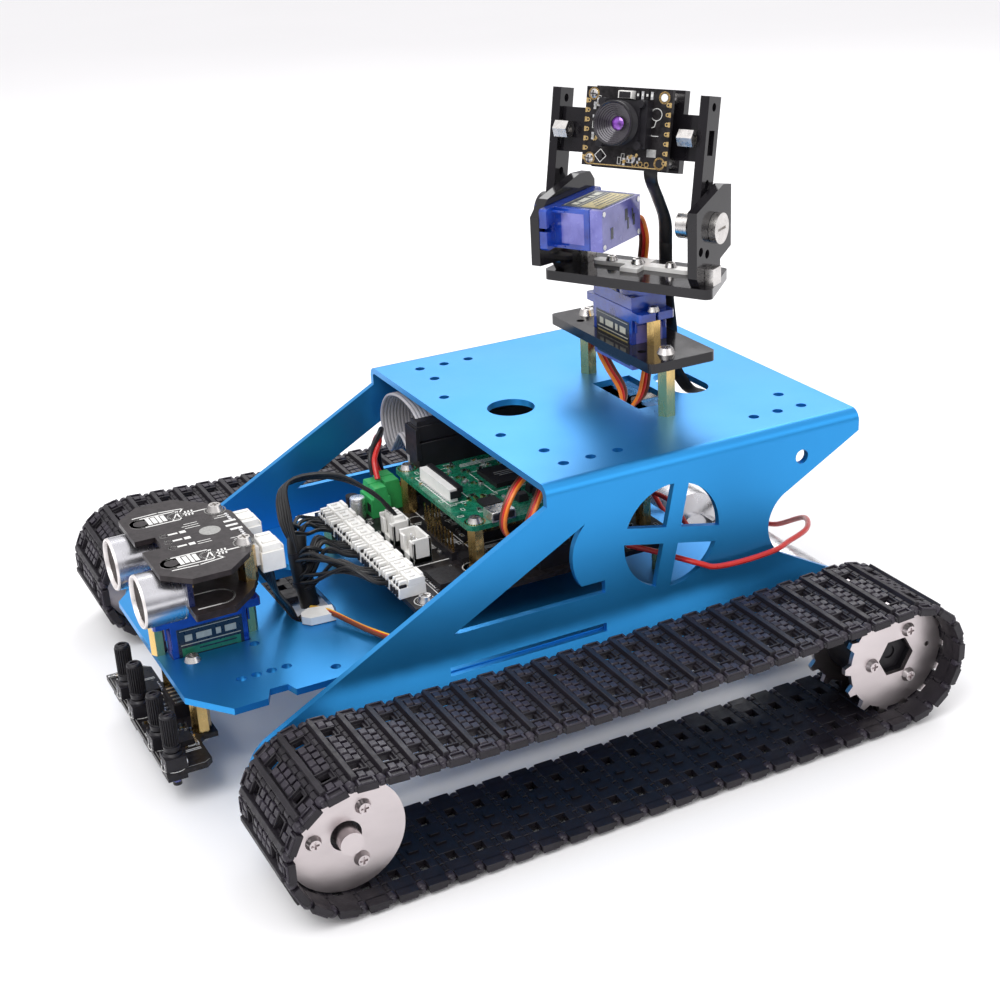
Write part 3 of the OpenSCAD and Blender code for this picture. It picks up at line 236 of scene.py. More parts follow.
LABEL_INK = material("label_ink", (0.50, 0.50, 0.42), 0.4, 0.2, 0.1, 900, bump=0.05)
RIBBON = material("ribbon_pvc", (0.42, 0.41, 0.43), 0.42, 0, 0.1, 150, grain=1200)
WIRE_BLACK = material("wire_black", (0.010, 0.010, 0.011), 0.36, 0, 0.2, 200, spec=0.35)
WIRE_RED = material("wire_red", (0.52, 0.016, 0.012), 0.34, 0, 0.12, 200)
WIRE_ORANGE = material("wire_orange", (0.82, 0.21, 0.012), 0.34, 0, 0.12, 200)
WIRE_BROWN = material("wire_brown", (0.14, 0.035, 0.014), 0.36, 0, 0.15, 200)
WIRE_YELLOW = material("wire_yellow", (0.85, 0.48, 0.03), 0.34, 0, 0.1, 200)
WRAP = material("battery_wrap", (0.020, 0.110, 0.42), 0.28, 0, 0.15, 120, bump=0.3, grain=300, coat=0.3)
MESH_DARK = material("sonar_mesh", (0.035, 0.022, 0.020), 0.45, 0.6, 0.3, 900, bump=0.3)
CAN = material("sonar_aluminium", (0.62, 0.62, 0.65), 0.26, 1.0, 0.04, 60, (3, 1, 1), 0.05, 900, 0.04)
RIM = material("sonar_rim", (0.80, 0.76, 0.75), 0.35, 0.6, 0.05, 400)
GLASS = material("lens_coating", (0.07, 0.012, 0.16), 0.06, 0.4, 0.5, 700, bump=0, spread=0.02, coat=1.0,
                 other=(0.38, 0.10, 0.72))
LENS_RING = material("lens_ring", (0.030, 0.026, 0.034), 0.22, 0.3, 0.2, 300, bump=0.05, coat=0.3)
LED_BLUE = material("sensor_lens", (0.03, 0.05, 0.30), 0.12, 0, 0.3, 600, bump=0.02, coat=0.5, transmit=0.3)


# ---------- mesh kit ----------


def ring_faces(rings, n, caps=True):
    """Quads that join rings of n points, with a cap on each end."""
    last = (rings - 1) * n
    faces = [(i * n + k, i * n + (k + 1) % n, (i + 1) * n + (k + 1) % n, (i + 1) * n + k)
             for i in range(rings - 1) for k in range(n)]
    if caps:
        faces += [tuple(range(n - 1, -1, -1)), tuple(range(last, last + n))]
    return faces


class Kit:
    """Collects faces in millimetres; `at` is the transform for what is added next."""

    def __init__(self, at=None):
        self.verts, self.faces, self.index, self.mats = [], [], [], []
        self.at = at or Matrix()

    def add(self, verts, faces, mat):
        if mat not in self.mats:
            self.mats.append(mat)
        base, k = len(self.verts), self.mats.index(mat)
        self.verts += [self.at @ Vector(v) for v in verts]
        self.faces += [[base + i for i in f] for f in faces]
        self.index += [k] * len(faces)

    def box(self, a, b, mat, top=(0, 0), skew=(0, 0)):
        """A box from a to b; its top shrinks by `top` on each side and slides by `skew`."""
        (x0, y0, z0), (x1, y1, z1) = a, b
        tx, ty = top
        sx, sy = skew
        v = [(x0, y0, z0), (x1, y0, z0), (x1, y1, z0), (x0, y1, z0),
             (x0 + tx + sx, y0 + ty + sy, z1), (x1 - tx + sx, y0 + ty + sy, z1),
             (x1 - tx + sx, y1 - ty + sy, z1), (x0 + tx + sx, y1 - ty + sy, z1)]
        self.add(v, [(3, 2, 1, 0), (4, 5, 6, 7), (0, 1, 5, 4), (1, 2, 6, 5), (2, 3, 7, 6), (3, 0, 4, 7)], mat)

    def lathe(self, start, axis, profile, mat, n=32, caps=True):
        """Turns (along, radius) pairs about a line; a tube left open at both ends needs caps=False."""
        axis = Vector(axis).normalized()
        side = axis.orthogonal().normalized()
        other = axis.cross(side)
        start = Vector(start)
        verts = [start + axis * h + (side * math.cos(t) + other * math.sin(t)) * r
                 for h, r in profile for t in [2 * math.pi * k / n for k in range(n)]]
        self.add(verts, ring_faces(len(profile), n, caps), mat)

    def rod(self, a, b, r, mat, n):
        axis = Vector(b) - Vector(a)
        self.lathe(a, axis, [(0, r), (axis.length, r)], mat, n)

    def pin(self, x, y, z0, z1, r, mat, n):
        """An upright rod."""
        self.rod((x, y, z0), (x, y, z1), r, mat, n)

    def pad(self, x, y, rx, ry, z0, z1, mat, top=(0, 0)):
        """A box centred on x, y that reaches rx and ry each way."""
        self.box((x - rx, y - ry, z0), (x + rx, y + ry, z1), mat, top)

    def row(self, count, step, a, b, mat, top=(0, 0)):
        """The box from a to b, repeated at every (x, y) step."""
        for i in range(count):
            dx, dy = i * step[0], i * step[1]
            self.box((a[0] + dx, a[1] + dy, a[2]), (b[0] + dx, b[1] + dy, b[2]), mat, top)

    def prism(self, outline, z0, z1, mat):
        verts = [(x, y, z) for z in (z0, z1) for x, y in outline]
        self.add(verts, ring_faces(2, len(outline)), mat)

    def line(self, points, w, z, mat, h=0.06, closed=False):
        """A printed line of width w on a board whose top is at z."""
        points = list(points) + ([points[0]] if closed else [])
        for (x0, y0), (x1, y1) in zip(points, points[1:]):
            d = Vector((x1 - x0, y1 - y0, 0))
            if d.length < 1e-6:
                continue
            d.normalize()
            s = Vector((-d.y, d.x, 0)) * w / 2
            e = d * w / 2
            a, b = Vector((x0, y0, 0)) - e, Vector((x1, y1, 0)) + e
            self.prism([(a + s)[:2], (a - s)[:2], (b - s)[:2], (b + s)[:2]], z - 0.01, z + h, mat)

    def circle(self, x, y, r, w, z, mat, a0=0, a1=360, n=24):
        pts = [(x + r * math.cos(math.radians(a0 + (a1 - a0) * k / n)),
                y + r * math.sin(math.radians(a0 + (a1 - a0) * k / n))) for k in range(n + 1)]
        self.line(pts, w, z, mat)

    def tube(self, points, r, mat, n=10, r2=None, up=None):
        """A round tube along a smooth path, or flat if r2 is given; `up` is where its thin way faces."""
        q = spline([Vector(p) for p in points], CORD_STEPS)
        side = None
        verts = []
        for i, p in enumerate(q):
            t = (q[min(i + 1, len(q) - 1)] - q[max(i - 1, 0)]).normalized()
            if side is None:
                side = Vector(up or ((1, 0, 0) if abs(t.z) > 0.9 else (0, 0, 1)))
            side = (side - t * side.dot(t)).normalized()
            other = t.cross(side)
            verts += [p + side * (r2 or r) * math.cos(a) + other * r * math.sin(a)
                      for a in [2 * math.pi * k / n for k in range(n)]]
        self.add(verts, ring_faces(len(q), n), mat)

    def stamp(self, kit, matrix):
        """Adds a copy of another kit, placed by matrix."""
        base = len(self.verts)
        self.mats += [mat for mat in kit.mats if mat not in self.mats]
        self.verts += [self.at @ matrix @ v for v in kit.verts]
        self.faces += [[base + i for i in f] for f in kit.faces]
        self.index += [self.mats.index(kit.mats[k]) for k in kit.index]


def spline(p, steps):
    out = []
    n = len(p) - 1
    for i in range(n):
        a, b, c, d = p[max(i - 1, 0)], p[i], p[i + 1], p[min(i + 2, n)]
        for k in range(steps):
            t = k / steps
            out.append(0.5 * (2 * b + (c - a) * t + (2 * a - 5 * b + 4 * c - d) * t * t
                              + (3 * b - a - 3 * c + d) * t ** 3))
    return out + [p[-1]]


def smooth(mesh, degrees=35):
    mesh.polygons.foreach_set("use_smooth", [True] * len(mesh.polygons))
    mesh.set_sharp_from_angle(angle=math.radians(degrees))


def bevel(obj, width, segments=2, mat_index=-1):
    mod = obj.modifiers.new("bevel", "BEVEL")
    mod.width, mod.segments = width * 0.001, segments
    mod.limit_method, mod.angle_limit = "ANGLE", math.radians(40)
    mod.use_clamp_overlap = True
    mod.material = mat_index


def piece(name, kit, body, replaces=(), edge=0.1, segments=1, rides=True):
    """One finished object of the look, from a kit of faces."""
    mesh = bpy.data.meshes.new(name)
    mesh.from_pydata([ROW @ v for v in kit.verts], [], kit.faces)
    for m in kit.mats:
        mesh.materials.append(m)
    mesh.polygons.foreach_set("material_index", kit.index)
    bm = bmesh.new()
    bm.from_mesh(mesh)
    bmesh.ops.recalc_face_normals(bm, faces=bm.faces)
    bm.to_mesh(mesh)
    bm.free()
    smooth(mesh)
    obj = bpy.data.objects.new(name, mesh)
    bpy.context.scene.collection.objects.link(obj)
    if edge:
        bevel(obj, edge, segments)
    if replaces:
        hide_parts(*replaces)
    if rides:
        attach(obj, body)
    return obj


def finish_node(name, mat, edge=0.15, segments=2, edge_mat=None):
    """A CAD node that stays: a better material, smooth shading and softened edges."""
    obj = NODES[name]
    obj.data.materials.clear()
    obj.data.materials.append(mat)
    if edge_mat:
        obj.data.materials.append(edge_mat)
    smooth(obj.data, 30)
    bevel(obj, edge, segments, 1 if edge_mat else -1)


studio()

# ---------- tracks ----------


def hinge_point(i):
    n = i % LINKS
    wrap_links, run_links = TEETH // 2, (LINKS - TEETH) // 2
    step = 2 * math.pi / TEETH
    if n <= wrap_links:
        a = math.pi / 2 + n * step
        return -HALF_WB + HINGE_R * math.cos(a), HINGE_R * math.sin(a)
    n -= wrap_links
    if n <= run_links:
        return -HALF_WB + n * PITCH, -HINGE_R
    n -= run_links
    if n <= wrap_links:
        a = -math.pi / 2 + n * step
        return HALF_WB + HINGE_R * math.cos(a), HINGE_R * math.sin(a)
    n -= wrap_links
    u = n / run_links
    return HALF_WB - n * PITCH, HINGE_R - 4 * SAG * u * (1 - u)


def track_link():
    """One link along X, outer face up: windowed plate, tall crossbar, slanted pads and hinge barrels."""
    k = Kit()
    half = PITCH / 2
    for y0, y1 in ((-15.4, -10.85), (-7.05, 7.05), (10.85, 15.4)):
        k.box((-3.4, y0, -1.7), (3.4, y1, -0.1), TRACK)
    for w in (-8.95, 8.95):
        for a, b in ((-3.4, -1.0), (1.7, 3.4)):
            k.box((a, w - 1.95, -1.7), (b, w + 1.95, -0.1), TRACK)
        k.box((-1.8, w - 2.6, -0.1), (2.9, w - 1.9, 0.75), TRACK, (0.1, 0.1))
        k.box((-1.8, w + 1.9, -0.1), (2.9, w + 2.6, 0.75), TRACK, (0.1, 0.1))
        k.box((2.4, w - 1.9, -0.1), (3.0, w + 1.9, 0.6), TRACK, (0.1, 0))
    k.box((-3.75, -15.9, -1.2), (-1.35, 15.9, 1.55), TRACK, (0.45, 0.5))
    # the slanted pads are in the lighter nylon, a painted highlight
    for y in (-13.9, -5.0, -1.75, 1.5, 4.9, 13.3):
        k.box((-1.3, y - 1.45, -0.1), (0.9, y + 1.25, 1.0), TRACK_HIGHLIGHT, (0.15, 0.2), (0.1, 0.3))
        k.box((1.1, y - 1.6, -0.1), (3.2, y + 1.1, 0.75), TRACK_HIGHLIGHT, (0.15, 0.2), (-0.1, -0.25))
    for i in range(9):
        y = -14.6 + i * 3.3
        own = 1 if i % 2 else -1
        x0, x1 = sorted((own * half, own * 2.9))
        k.rod((own * half, y, -0.75), (own * half, y + 2.9, -0.75), 1.25, TRACK, 10)
        k.box((x0, y, -1.5), (x1, y + 2.9, 0.1), TRACK, (0.1, 0))
    for s in (-1, 1):
        a, b = sorted((s * 14.9, s * 18.2))
        k.box((-2.9, a, -1.7), (2.9, b, 0.25), TRACK, (0.25, 0.15))
        # the rib frames on the edge bars are in the lighter nylon, a painted highlight
        for x0, x1, y0, y1 in ((-2.5, -1.7, a + 0.2, b - 0.2), (1.7, 2.5, a + 0.2, b - 0.2),
                               (-1.8, 1.8, a + 0.2, a + 0.85), (-1.8, 1.8, b - 0.85, b - 0.2)):
            k.box((x0, y0, 0.2), (x1, y1, 0.75), TRACK_HIGHLIGHT, (0.06, 0.06))
        # the barrel ends are in the lighter nylon, a painted highlight
        k.lathe((half, s * 15.2, -0.7), (0, s, 0), [(0, 1.45), (1.6, 1.45), (2.1, 1.1), (2.1, 0.85),
                                                    (2.5, 0.6), (2.6, 0)], TRACK_HIGHLIGHT, 14)
        k.box((-3.6, a + 0.2, -1.3), (-2.7, b - 1.3, 0.0), TRACK)
        k.box((-1.2, s * 2.2 - 0.9, -2.3), (1.9, s * 2.2 + 0.9, -1.6), TRACK, (0.3, 0.2))
    return k


def tracks():
    link = track_link()
    for side, flip in (("left", Matrix()), ("right", MIRROR_Y)):
        k = Kit()
        for i in range(LINKS):
            (ax, az), (bx, bz) = hinge_point(i), hinge_point(i + 1)
            ang = math.atan2(bz - az, bx - ax)
            place = (flip @ move((ax + bx) / 2, TRACK_Y, (az + bz) / 2)
                     @ Matrix.Rotation(-ang, 4, "Y") @ turn(180, "X"))
            k.stamp(link, place)
        piece("track_links_" + side, k, "chassis", ["track_" + side], edge=0.12)


tracks()

# ---------- metal body and drive: CAD nodes that stay ----------

# the bevels of the shell and base plate take the lighter blue, a painted highlight along their edges
for node in ("upper_shell", "base_plate"):
    finish_node(node, BLUE, 0.32, 2, BLUE_EDGE_HIGHLIGHT)
for node in ("sprocket_discs_left", "sprocket_discs_right", "idler_discs_left", "idler_discs_right",
             "idler_axles"):
    finish_node(node, NICKEL, 0.14)
for node in ("chassis_screws", "fork_fasteners", "camera_fasteners"):
    finish_node(node, STEEL, 0.1)
for node in ("gearmotor_left", "gearmotor_right"):
    finish_node(node, MOTOR, 0.3)
for node in ("brass_standoffs", "sonar_fasteners"):
    finish_node(node, BRASS, 0.12)
# the sonar fasteners are brass posts between the plates and steel screws outside them
NODES["sonar_fasteners"].data.materials.append(STEEL)
for face in NODES["sonar_fasteners"].data.polygons:
    height = face.center.z * 1000 - DROP
    face.material_index = 1 if height > SONAR_DECK + 1.55 or height < SONAR_PLATE - 0.1 else 0
for node in ("drive_coupler_left", "drive_coupler_right"):
    finish_node(node, BLACK, 0.12)
for node in ("mast_plate", "fork_base", "fork_plates", "camera_frame"):
    finish_node(node, ACRYLIC, 0.2)
for node in ("sprocket_drum_left", "sprocket_drum_right", "idler_hub_left", "idler_hub_right", "tilt_horn",
             "sensor_parts"):
    finish_node(node, BLACK, 0.15)
for node in ("control_board", "sensor_board", "camera_board"):
    finish_node(node, BOARD, 0.08)
finish_node("sonar_plates", SONAR_PCB, 0.12)
finish_node("sonar_board", BLUE_BOARD, 0.08)
finish_node("computer_board", GREEN, 0.25, 2, GREEN_EDGE)
finish_node("battery", WRAP, 0.5, 3)
finish_node("sonar_horn", NYLON, 0.2)
finish_node("pan_horn", NYLON, 0.3, 3)


# ---------- circuit boards ----------


def smd(k, x, y, z, rnd):
    """A two-ended chip part, a printed mark or a solder pad."""
    along = rnd.random() < 0.5
    kind = rnd.random()
    w, h = (0.8, 0.4) if along else (0.4, 0.8)
    if kind < 0.5:
        k.pad(x, y, w, h, z, z + 0.55, rnd.choice((CHIP, CHIP, BRASS, GREY_INK)))
        for s in (-1, 1):
            if along:
                k.pad(x + s * w, y, 0.25, h + 0.02, z, z + 0.6, TIN)
            else:
                k.pad(x, y + s * h, w + 0.02, 0.25, z, z + 0.6, TIN)
    elif kind < 0.8:
        printed_box(k, x - w * 1.2, x + w * 1.2, y - h * 1.2, y + h * 1.2, 0.14, z)
    else:
        k.pin(x, y, z, z + 0.12, 0.45, GOLD, 8)


def scatter(k, x0, x1, y0, y1, z, count, seed, keep_out=()):
    rnd = random.Random(seed)
    for _ in range(count):
        x, y = rnd.uniform(x0, x1), rnd.uniform(y0, y1)
        if any(a - 1 < x < b + 1 and c - 1 < y < d + 1 for a, b, c, d in keep_out):
            continue
        smd(k, x, y, z, rnd)


def printed_box(k, x0, x1, y0, y1, w, z=0):
    k.line([(x0, y0), (x1, y0), (x1, y1), (x0, y1)], w, z, INK, closed=True)


def printed_rows(k, x0, x1, y, z, rows, seed, mat=INK, pitch=0.75):
    """Rows of short dashes that stand in for printed wording."""
    rnd = random.Random(seed)
    for r in range(rows):
        x = x0
        while x < x1:
            w = rnd.uniform(0.4, 1.5)
            if x + w > x1:
                break
            k.line([(x, y + r * pitch), (x + w, y + r * pitch)], 0.28, z, mat)
            x += w + 0.35


def soic(k, x0, x1, y0, y1, h, legs, side="x"):
    """A chip of height h on the board, with gull legs on the two edges that run along `side`."""
    k.box((x0, y0, 0.1), (x1, y1, h), CHIP, (0.12, 0.12))
    k.circle(x0 + 0.9, y0 + 0.9, 0.35, 0.12, h, GREY_INK, n=12)
    for i in range(legs):
        share = (i + 0.5) / legs
        for s, x, y in ((-1, x0, y0), (1, x1, y1)):
            if side == "x":
                k.pad(x0 + share * (x1 - x0), y + s * 0.45, 0.18, 0.45, 0, 0.22, TIN)
            else:
                k.pad(x + s * 0.45, y0 + share * (y1 - y0), 0.45, 0.18, 0, 0.22, TIN)


def pin_header(k, x0, y0, nx, ny, high):
    """A black strip on the board with nx by ny square pins, the first at x0, y0."""
    x1, y1 = x0 + (nx - 1) * PIN_PITCH, y0 + (ny - 1) * PIN_PITCH
    k.box((x0 - 1.2, y0 - 1.2, 0), (x1 + 1.2, y1 + 1.2, 2.5), BLACK, (0.15, 0.15))
    for i in range(nx):
        for j in range(ny):
            k.pad(x0 + i * PIN_PITCH, y0 + j * PIN_PITCH, 0.32, 0.32, 2.4, high, GOLD, (0.1, 0.1))


def plug_y(i):
    """The right edge of plug i in the front row, counted from the right."""
    return (i - PLUGS / 2) * PLUG_PITCH


def control_details():
    k = Kit(move(0, 0, CONTROL_TOP))
    keep = [(32, 42, -34, 34), (21.5, 29.5, -13, 14.5), (12, 26, -40, -24), (-5, 9, -31, -20),
            (19, 30, 21, 34), (-27, -13, 27, 37), (-41, -27, -21, -7), (-26, 6, 3, 10), (-42, 10, -38, -30),
            (-49, -41, 31, 39), (31.5, 39.5, 32.5, 40), (31.5, 39.5, -40, -32.5), (-13, -1, 29, 38),
            (9, 17, 21, 28), (-49, -41, -39, -31)]
    scatter(k, -48, 38, -38, 38, 0, 430, 11, keep)
    for x0, x1, y, rows, seed in ((10, 20, 30, 4, 3), (-12, 8, 13, 3, 4), (10, 20, 2, 6, 5),
                                  (-2, 10, -18, 4, 6)):
        printed_rows(k, x0, x1, y, 0, rows, seed)
    for x0, x1, y0, y1 in ((9.5, 30.5, 15, 35.5), (-26.5, 9, 11, 26), (9, 31.5, -14, 14.8),
                           (-8, 12, -32, -15)):
        printed_box(k, x0, x1, y0, y1, 0.25)
    for y in map(plug_y, range(PLUGS)):
        k.line([(31.2, y + 0.8), (32.4, y + 0.8)], 0.3, 0, INK)
        k.line([(29.6, y + 1.2), (29.6, y + 5.6)], 0.35, 0, INK)
    for x, y in ((14, 24), (35.5, 36.5), (-45, 35), (14, -16)):
        k.circle(x, y, 3.2, 0.3, 0, INK)
    k.circle(14, 24, 2.3, 1.1, 0, TIN)
    pin_header(k, 16.5, -2, 1, 8, 8.8)
    pin_header(k, 11.6, -9, 2, 3, 8.8)
    pin_header(k, -23.6, 5.3, 11, 2, 8.2)
    soic(k, 20, 29, 22, 33, 1.8, 8, "y")
    soic(k, -26, -14, 28, 36, 2.2, 10)
    soic(k, -40, -28, -20, -8, 2.2, 10)
    soic(k, -4, 8, -30, -21, 2.0, 9)
    soic(k, 10.2, 16, 15.5, 20.5, 1.6, 5)
    k.lathe((29, -29, 0), UP, [(0, 2.5), (5.6, 2.5), (6.0, 2.3), (6.4, 2.5), (6.9, 2.3), (7, 0)], TIN, 24)
    k.box((-12, 30, 0), (-2, 37, 6), BLACK)
    for x in (-10, -7, -4):
        k.pin(x, 33.5, 5.7, 6.1, 0.9, TIN, 12)
    k.box((3.5, 30.5, 0), (8.5, 36, 3.2), BLACK, (0.3, 0.3))
    k.pin(6, 33.2, 3.1, 4.4, 1.5, BRASS, 16)
    for x, y in ((28.5, -35.2), (-33, 24.6), (-33, 30)):
        k.pin(x, y, 0, 5.2, 2.0, CHIP, 18)
    # underside: solder joints of the plugs
    for y in map(plug_y, range(PLUGS)):
        for j in range(3):
            k.lathe((36, y + 1.4 + 2 * j, -BOARD_T), DOWN, [(0, 0.7), (0.5, 0.45), (1.1, 0.15)], TIN, 8)
    piece("control_details", k, "chassis", edge=0)


def computer_details():
    k = Kit(move(0, 0, COMPUTER_TOP))
    keep = [(-71, -53, -20, 28), (-35, -18, 19, 29), (0, 10, 21, 29), (-19, -3, -9, 7), (-39, -25, -7, 7),
            (7.5, 13.5, -15, 9), (-43, 10.5, -30, -20.5), (9, 16.2, 21, 28), (-49, -41, 21, 28),
            (-0.5, 6.5, 11.5, 18.5), (-16, -4, 10, 19)]
    scatter(k, -52, 15, -20, 26, 0, 260, 21, keep)
    printed_rows(k, -16, -2, -17.5, 0, 3, 8, pitch=0.9)
    printed_rows(k, -50, -42, -10, 0, 5, 9)
    k.circle(3.5, -16, 1.6, 0.2, 0, INK)
    printed_box(k, -20, -2, -10, 8, 0.2)
    printed_box(k, -40, -24, -8, 8, 0.2)
    printed_box(k, 6.6, 14, -15.6, 9.6, 0.25)
    k.box((-18, -8, 0), (-4, 6, 1.4), CHIP, (0.15, 0.15))
    k.circle(-16.6, -6.6, 0.4, 0.15, 1.4, GREY_INK, n=12)
    printed_rows(k, -15, -7, -2.5, 1.4, 3, 12, GREY_INK, 1.3)
    k.box((-38, -6, 0), (-26, 6, 1.2), CHIP, (0.1, 0.1))
    printed_rows(k, -36, -29, -1.5, 1.2, 2, 13, GREY_INK, 1.3)
    k.box((0, 12, 0), (6, 18, 1), CHIP, (0.08, 0.08))
    for y in (11.5, 18):
        k.row(6, (1, 0), (0.4, y, 0), (0.75, y + 0.5, 0.2), TIN)
    for y in (12, 16.5):
        k.row(2, (6, 0), (-14, y, 0), (-10.6, y + 3.2, 2.4), CHIP, (0.3, 0.3))
    for x in (12.7, -45.3):
        for y in (24.5, -24.5):
            k.circle(x, y, 2.95, 0.5, 0, GOLD)
    k.row(3, (2.4, 0), (2, 8.4, 0), (3, 10.4, 0.6), BRASS)
    # display connector: white body, dark latch
    k.box((10.4, -14, 0), (13, 8, 4), NYLON, (0.1, 0.1))
    k.box((8.6, -14.3, 2.6), (10.35, 8.3, 4.4), BLACK)
    k.box((13.05, -13.4, 0), (13.5, 7.4, 0.5), TIN)
    k.row(15, (0, 1.35), (13.0, -13.2, 0), (13.9, -12.7, 0.2), TIN)
    k.row(2, (0, 22.4), (9.4, -14.5, 1.2), (12.8, -13.9, 3.4), BLACK)
    # underside parts seen from below
    k.box((-12, -9, -3.0), (0, 3, -BOARD_T), CHIP)
    scatter(k, -40, 5, -16, 16, -2.15, 60, 31)
    piece("computer_details", k, "chassis", ["board_chips"], edge=0)


def computer_ports():
    """Two double serial sockets and the network socket at the rear, two small sockets on the left."""
    k = Kit()
    for y in (-19, -1):
        k.at = move(PORT_X, y, COMPUTER_TOP)
        for a, b in (((0, 0, 0), (17, 0.4, 15)), ((0, 12.6, 0), (17, 13, 15)), ((0, 0, 14.6), (17, 13, 15)),
                     ((0, 0, 0), (17, 13, 0.8)), ((11, 0, 0), (17, 13, 15)), ((0, 0, 6.7), (12, 13, 8.3))):
            k.box(a, b, STEEL)
        for h in (3.2, 10.9):
            k.box((1.5, 1.2, h), (11, 11.8, h + 1.9), BLACK)
            k.row(4, (0, 2.3), (1.7, 2.3, h - 0.12), (9, 3.3, h), GOLD)
        k.row(2, (6, 0), (2, 3, 14.95), (6, 10, 15.06), NICKEL)
    k.at = move(PORT_X, 16.5, COMPUTER_TOP)
    for a, b in (((0, 0, 0), (21, 0.5, 13)), ((0, 10, 0), (21, 10.5, 13)), ((0, 0, 12.5), (21, 10.5, 13)),
                 ((14, 0, 0), (21, 10.5, 13)), ((0, 0, 0), (14, 10.5, 1.2))):
        k.box(a, b, STEEL)
    k.box((8, 0.5, 1.2), (14, 10, 12.5), BLACK)
    k.row(8, (0, 1.05), (2, 1.3, 10.6), (9, 1.7, 10.9), GOLD)
    k.at = move(0, 0, COMPUTER_TOP)
    k.box((-34, 20, 0), (-19, 28.2, 6), STEEL, (0.2, 0.2))
    k.box((-33, 28.1, 1), (-20, 29, 5.2), STEEL)
    k.box((-32.2, 28.5, 1.7), (-20.8, 29.05, 4.6), BLACK)
    k.box((1, 22.5, 0), (9, 28.6, 3), STEEL, (0.2, 0.1))
    k.box((1.6, 28.5, 0.7), (8.4, 29, 2.5), BLACK)
    piece("computer_port_shells", k, "chassis", ["computer_ports"], edge=0.12)


def header_blocks():
    k = Kit(move(0, 0, COMPUTER_TOP))
    k.box((-42.5, -29, 0), (9.8, -21.2, 8.5), BLACK, (0.1, 0.1))
    k.box((-42.5, -28.6, 9.2), (9.8, -21.6, 14), BLACK, (0.2, 0.3))
    k.box((-40.6, -28.0, 8.4), (8, -22.2, 9.3), BLACK)
    for y in (-26.4, -23.8):
        k.row(20, (PIN_PITCH, 0), (-40.9, y - 0.4, 13.9), (-40.1, y + 0.4, 14.06), TIN)
    k.row(20, (PIN_PITCH, 0), (-41, -29.04, 1.2), (-40, -28.9, 7.2), CHIP)
    k.box((-24, -29.3, 3), (-8, -28.9, 8.4), BLACK)
    k.row(2, (50.8, 0), (-41.9, -30, 3), (-40.3, -20.9, 13.4), BLACK, (0.2, 0.4))
    k.at = move(0, 0, CONTROL_TOP)
    k.box((-41, -37, 0), (9, -31.5, 5), BLACK, (0.2, 0.2))
    piece("header_blocks", k, "chassis", ["header_socket"], edge=0.18)


def ribbon():
    """Grey flat cable with one rib for every conductor."""
    path = [(-25, 55.2), (-30, 58.4), (-40, 59.6), (-50, 56.5), (-55.5, 49), (-54.5, 41), (-50, 37.5),
            (-45, 42), (-41, 46), (-36, 43), (-34.4, 37), (-34.2, 31.2)]
    q = spline([Vector((0, y, z)) for y, z in path], 7)
    ribs, per = 40, 4
    width, x0 = 48.0, -40.0
    cols = ribs * per
    verts, faces = [], []
    for i, p in enumerate(q):
        t = (q[min(i + 1, len(q) - 1)] - q[max(i - 1, 0)]).normalized()
        n = Vector((0, -t.z, t.y))
        for s in (1, -1):
            for c in range(cols + 1):
                bulge = 0.22 + 0.28 * abs(math.sin(math.pi * c / per))
                verts.append(p + Vector((x0 + width * c / cols, 0, 0)) + n * s * bulge)
    row = 2 * (cols + 1)
    for i in range(len(q) - 1):
        a, b = i * row, (i + 1) * row
        for c in range(cols):
            faces.append((a + c, a + c + 1, b + c + 1, b + c))
            faces.append((a + cols + 1 + c, b + cols + 1 + c, b + cols + 2 + c, a + cols + 2 + c))
        faces.append((a, b, b + cols + 1, a + cols + 1))
        faces.append((a + cols, a + 2 * cols + 1, b + 2 * cols + 1, b + cols))
    for a in (0, (len(q) - 1) * row):
        for c in range(cols):
            faces.append((a + c, a + c + 1, a + cols + 2 + c, a + cols + 1 + c))
    k = Kit()
    k.add(verts, faces, RIBBON)
    k.box((-41.5, -27.4, 54.9), (9.3, -22.4, 56.3), BLACK, (0.2, 0.2))
    k.box((-41, -36.4, 30.9), (9, -32.0, 33.2), BLACK, (0.2, 0.2))
    piece("ribbon_flat", k, "chassis", ["ribbon_cable"], edge=0)


